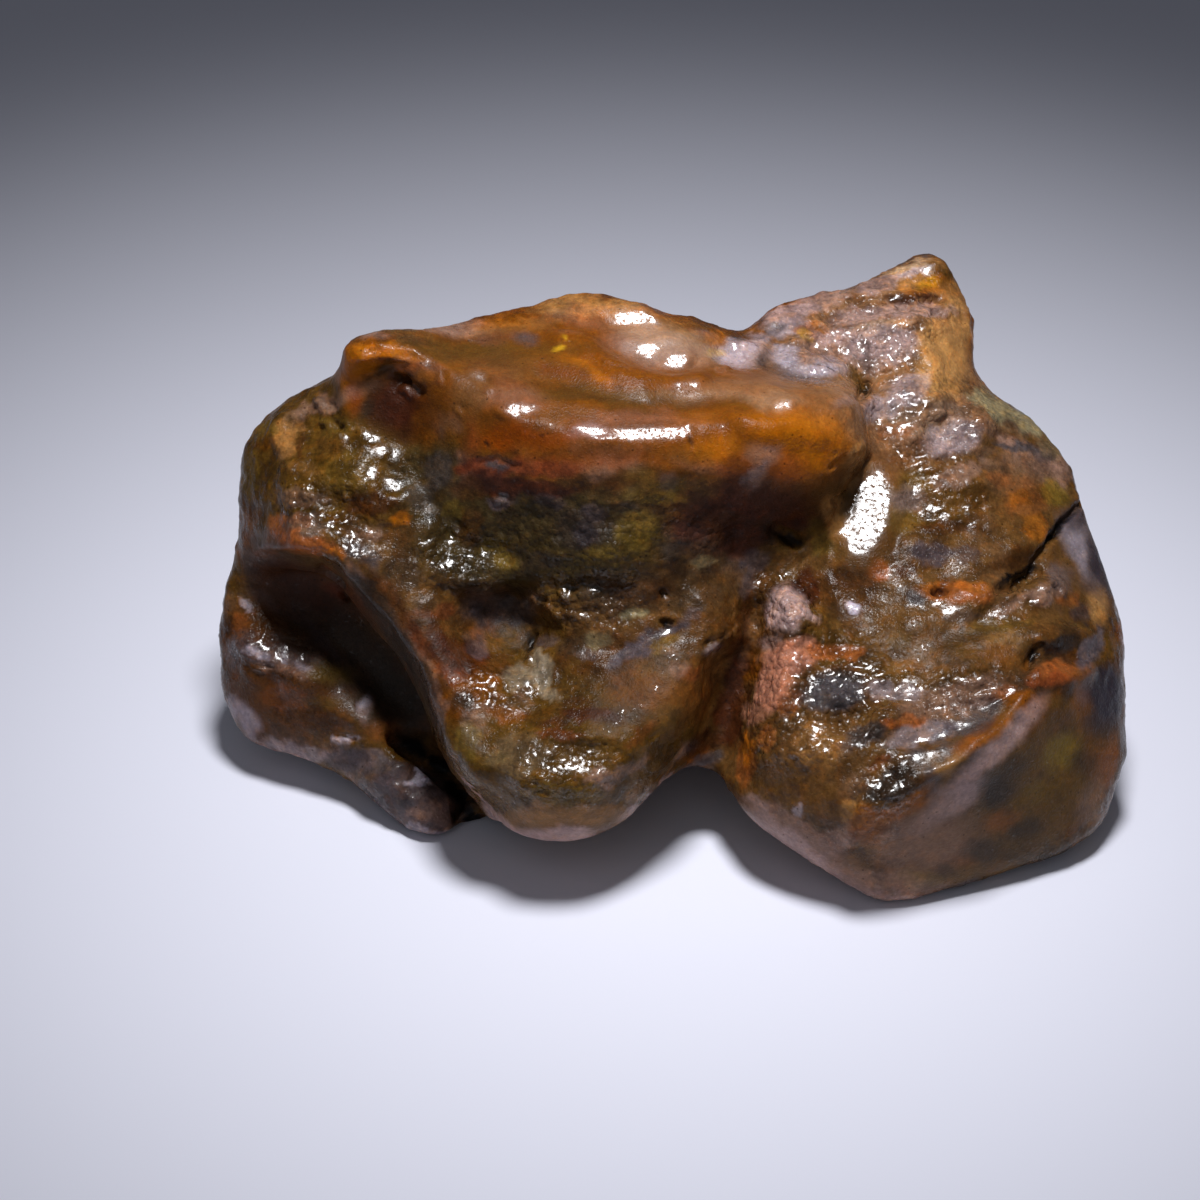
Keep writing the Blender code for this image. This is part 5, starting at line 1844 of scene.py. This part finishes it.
def film_group() -> bpy.types.NodeTree:
    """Makes the group that says how glossy the skin is, and how fine its grain.

    Returns:
        The node group.
    """
    group = GroupMaker("glossy_film")
    place = group.takes("Place", "Vector")
    matt = group.takes("Matt")
    gloss = group.takes("Gloss")
    beaded = group.takes("Beaded")
    grain_scale = group.takes("Grain Scale")
    bead_scale = group.takes("Bead Scale")

    worn = group.clouds(place, WORN_SCALE, 4.0)
    base = group.spread(matt, BASE_ROUGHNESS)
    group.gives("Roughness", group.plus(base, group.spread(worn, UNEVEN_ROUGHNESS)))
    fine = group.clouds(place, grain_scale, 2.0)
    standing = group.spread(fine, STANDING_GRAIN)
    grain = group.plus(group.times(standing, STANDING_SHARE), fine)
    away = group.cells(place, bead_scale)
    bead = group.spread(group.times(away, away), ROUND_BEAD)
    group.gives("Height", group.plus(grain, group.times(bead, beaded)))
    broken = group.clouds(place, group.times(grain_scale, BROKEN_SCALE), 3.0)
    covered = group.plus(broken, group.times(gloss, GLOSS_COVER))
    stipple = group.spread(covered, STIPPLE)
    clumps = group.clouds(place, group.times(grain_scale, CLUMP_SCALE), 3.0)
    group.gives("Coat", group.times(stipple, group.spread(clumps, CLUMPS)))
    return group.tree


@dataclass(frozen=True)
class AgateFinish:
    """The glossy skin of the agate: its mineral colours and painted light, its wet film and its
    fine grain.
    """

    name: str = "agate_skin"
    mottle_scale: float = 1000.0
    fleck_scale: float = 2600.0
    grain_scale: float = 8500.0
    bead_scale: float = 3700.0
    specular: float = 0.14
    coat_roughness: float = 0.14
    coat_ior: float = 1.5
    subsurface: float = 0.22
    subsurface_mm: float = 0.7
    subsurface_colour: Colour = (1.0, 0.45, 0.2)
    grain_mm: float = 0.014

    def build(self) -> bpy.types.Material:
        """Makes the material.

        Returns:
            The finished material.
        """
        material = bpy.data.materials.new(self.name)
        material.use_nodes = True
        tree = material.node_tree
        shader = tree.nodes["Principled BSDF"]
        constants = {
            "Subsurface Weight": self.subsurface,
            "Subsurface Scale": self.subsurface_mm * MM,
            "Subsurface Radius": self.subsurface_colour,
            "Specular IOR Level": self.specular,
            "Coat Roughness": self.coat_roughness,
            "Coat IOR": self.coat_ior,
        }
        for name, value in constants.items():
            shader.inputs[name].default_value = value

        sources = {"Place": tree.nodes.new("ShaderNodeTexCoord").outputs["Object"]}
        for name in ("tint", "mottle", "matt", "gloss", "beaded"):
            attribute = tree.nodes.new("ShaderNodeAttribute")
            attribute.attribute_name = name
            sources[name.title()] = attribute.outputs["Color" if name == "tint" else "Fac"]
        mineral_scales = {"Mottle Scale": self.mottle_scale, "Fleck Scale": self.fleck_scale}
        film_scales = {"Grain Scale": self.grain_scale, "Bead Scale": self.bead_scale}
        body = self.place_group(tree, mineral_group(), mineral_scales, sources)
        film = self.place_group(tree, film_group(), film_scales, sources)
        bump = tree.nodes.new("ShaderNodeBump")
        bump.inputs["Distance"].default_value = self.grain_mm * MM
        tree.links.new(body.outputs["Colour"], shader.inputs["Base Color"])
        tree.links.new(film.outputs["Roughness"], shader.inputs["Roughness"])
        tree.links.new(film.outputs["Coat"], shader.inputs["Coat Weight"])
        tree.links.new(film.outputs["Height"], bump.inputs["Height"])
        tree.links.new(bump.outputs["Normal"], shader.inputs["Normal"])
        return material

    def place_group(
        self,
        tree: bpy.types.NodeTree,
        group: bpy.types.NodeTree,
        scales: dict[str, float],
        sources: dict[str, Socket],
    ) -> bpy.types.Node:
        """Places a node group in the material and joins its inputs.

        Args:
            tree: The material's nodes.
            group: The node group.
            scales: The inputs with a fixed value, by name.
            sources: The sockets that give the other inputs, by name.

        Returns:
            The group's node.
        """
        node = tree.nodes.new("ShaderNodeGroup")
        node.node_tree = group
        for socket in node.inputs:
            if socket.name in scales:
                socket.default_value = scales[socket.name]
            else:
                tree.links.new(sources[socket.name], socket)
        return node


def main() -> None:
    """Builds the studio and the stone."""
    logging.basicConfig(level=logging.INFO, format="%(name)s: %(message)s")
    view = Viewpoint()
    Studio(view).build()
    piece = Stone(view, KEY_LAMP).build()
    log.info("piece %s with %d faces", piece.name, len(piece.data.polygons))


if __name__ == "__main__":
    main()
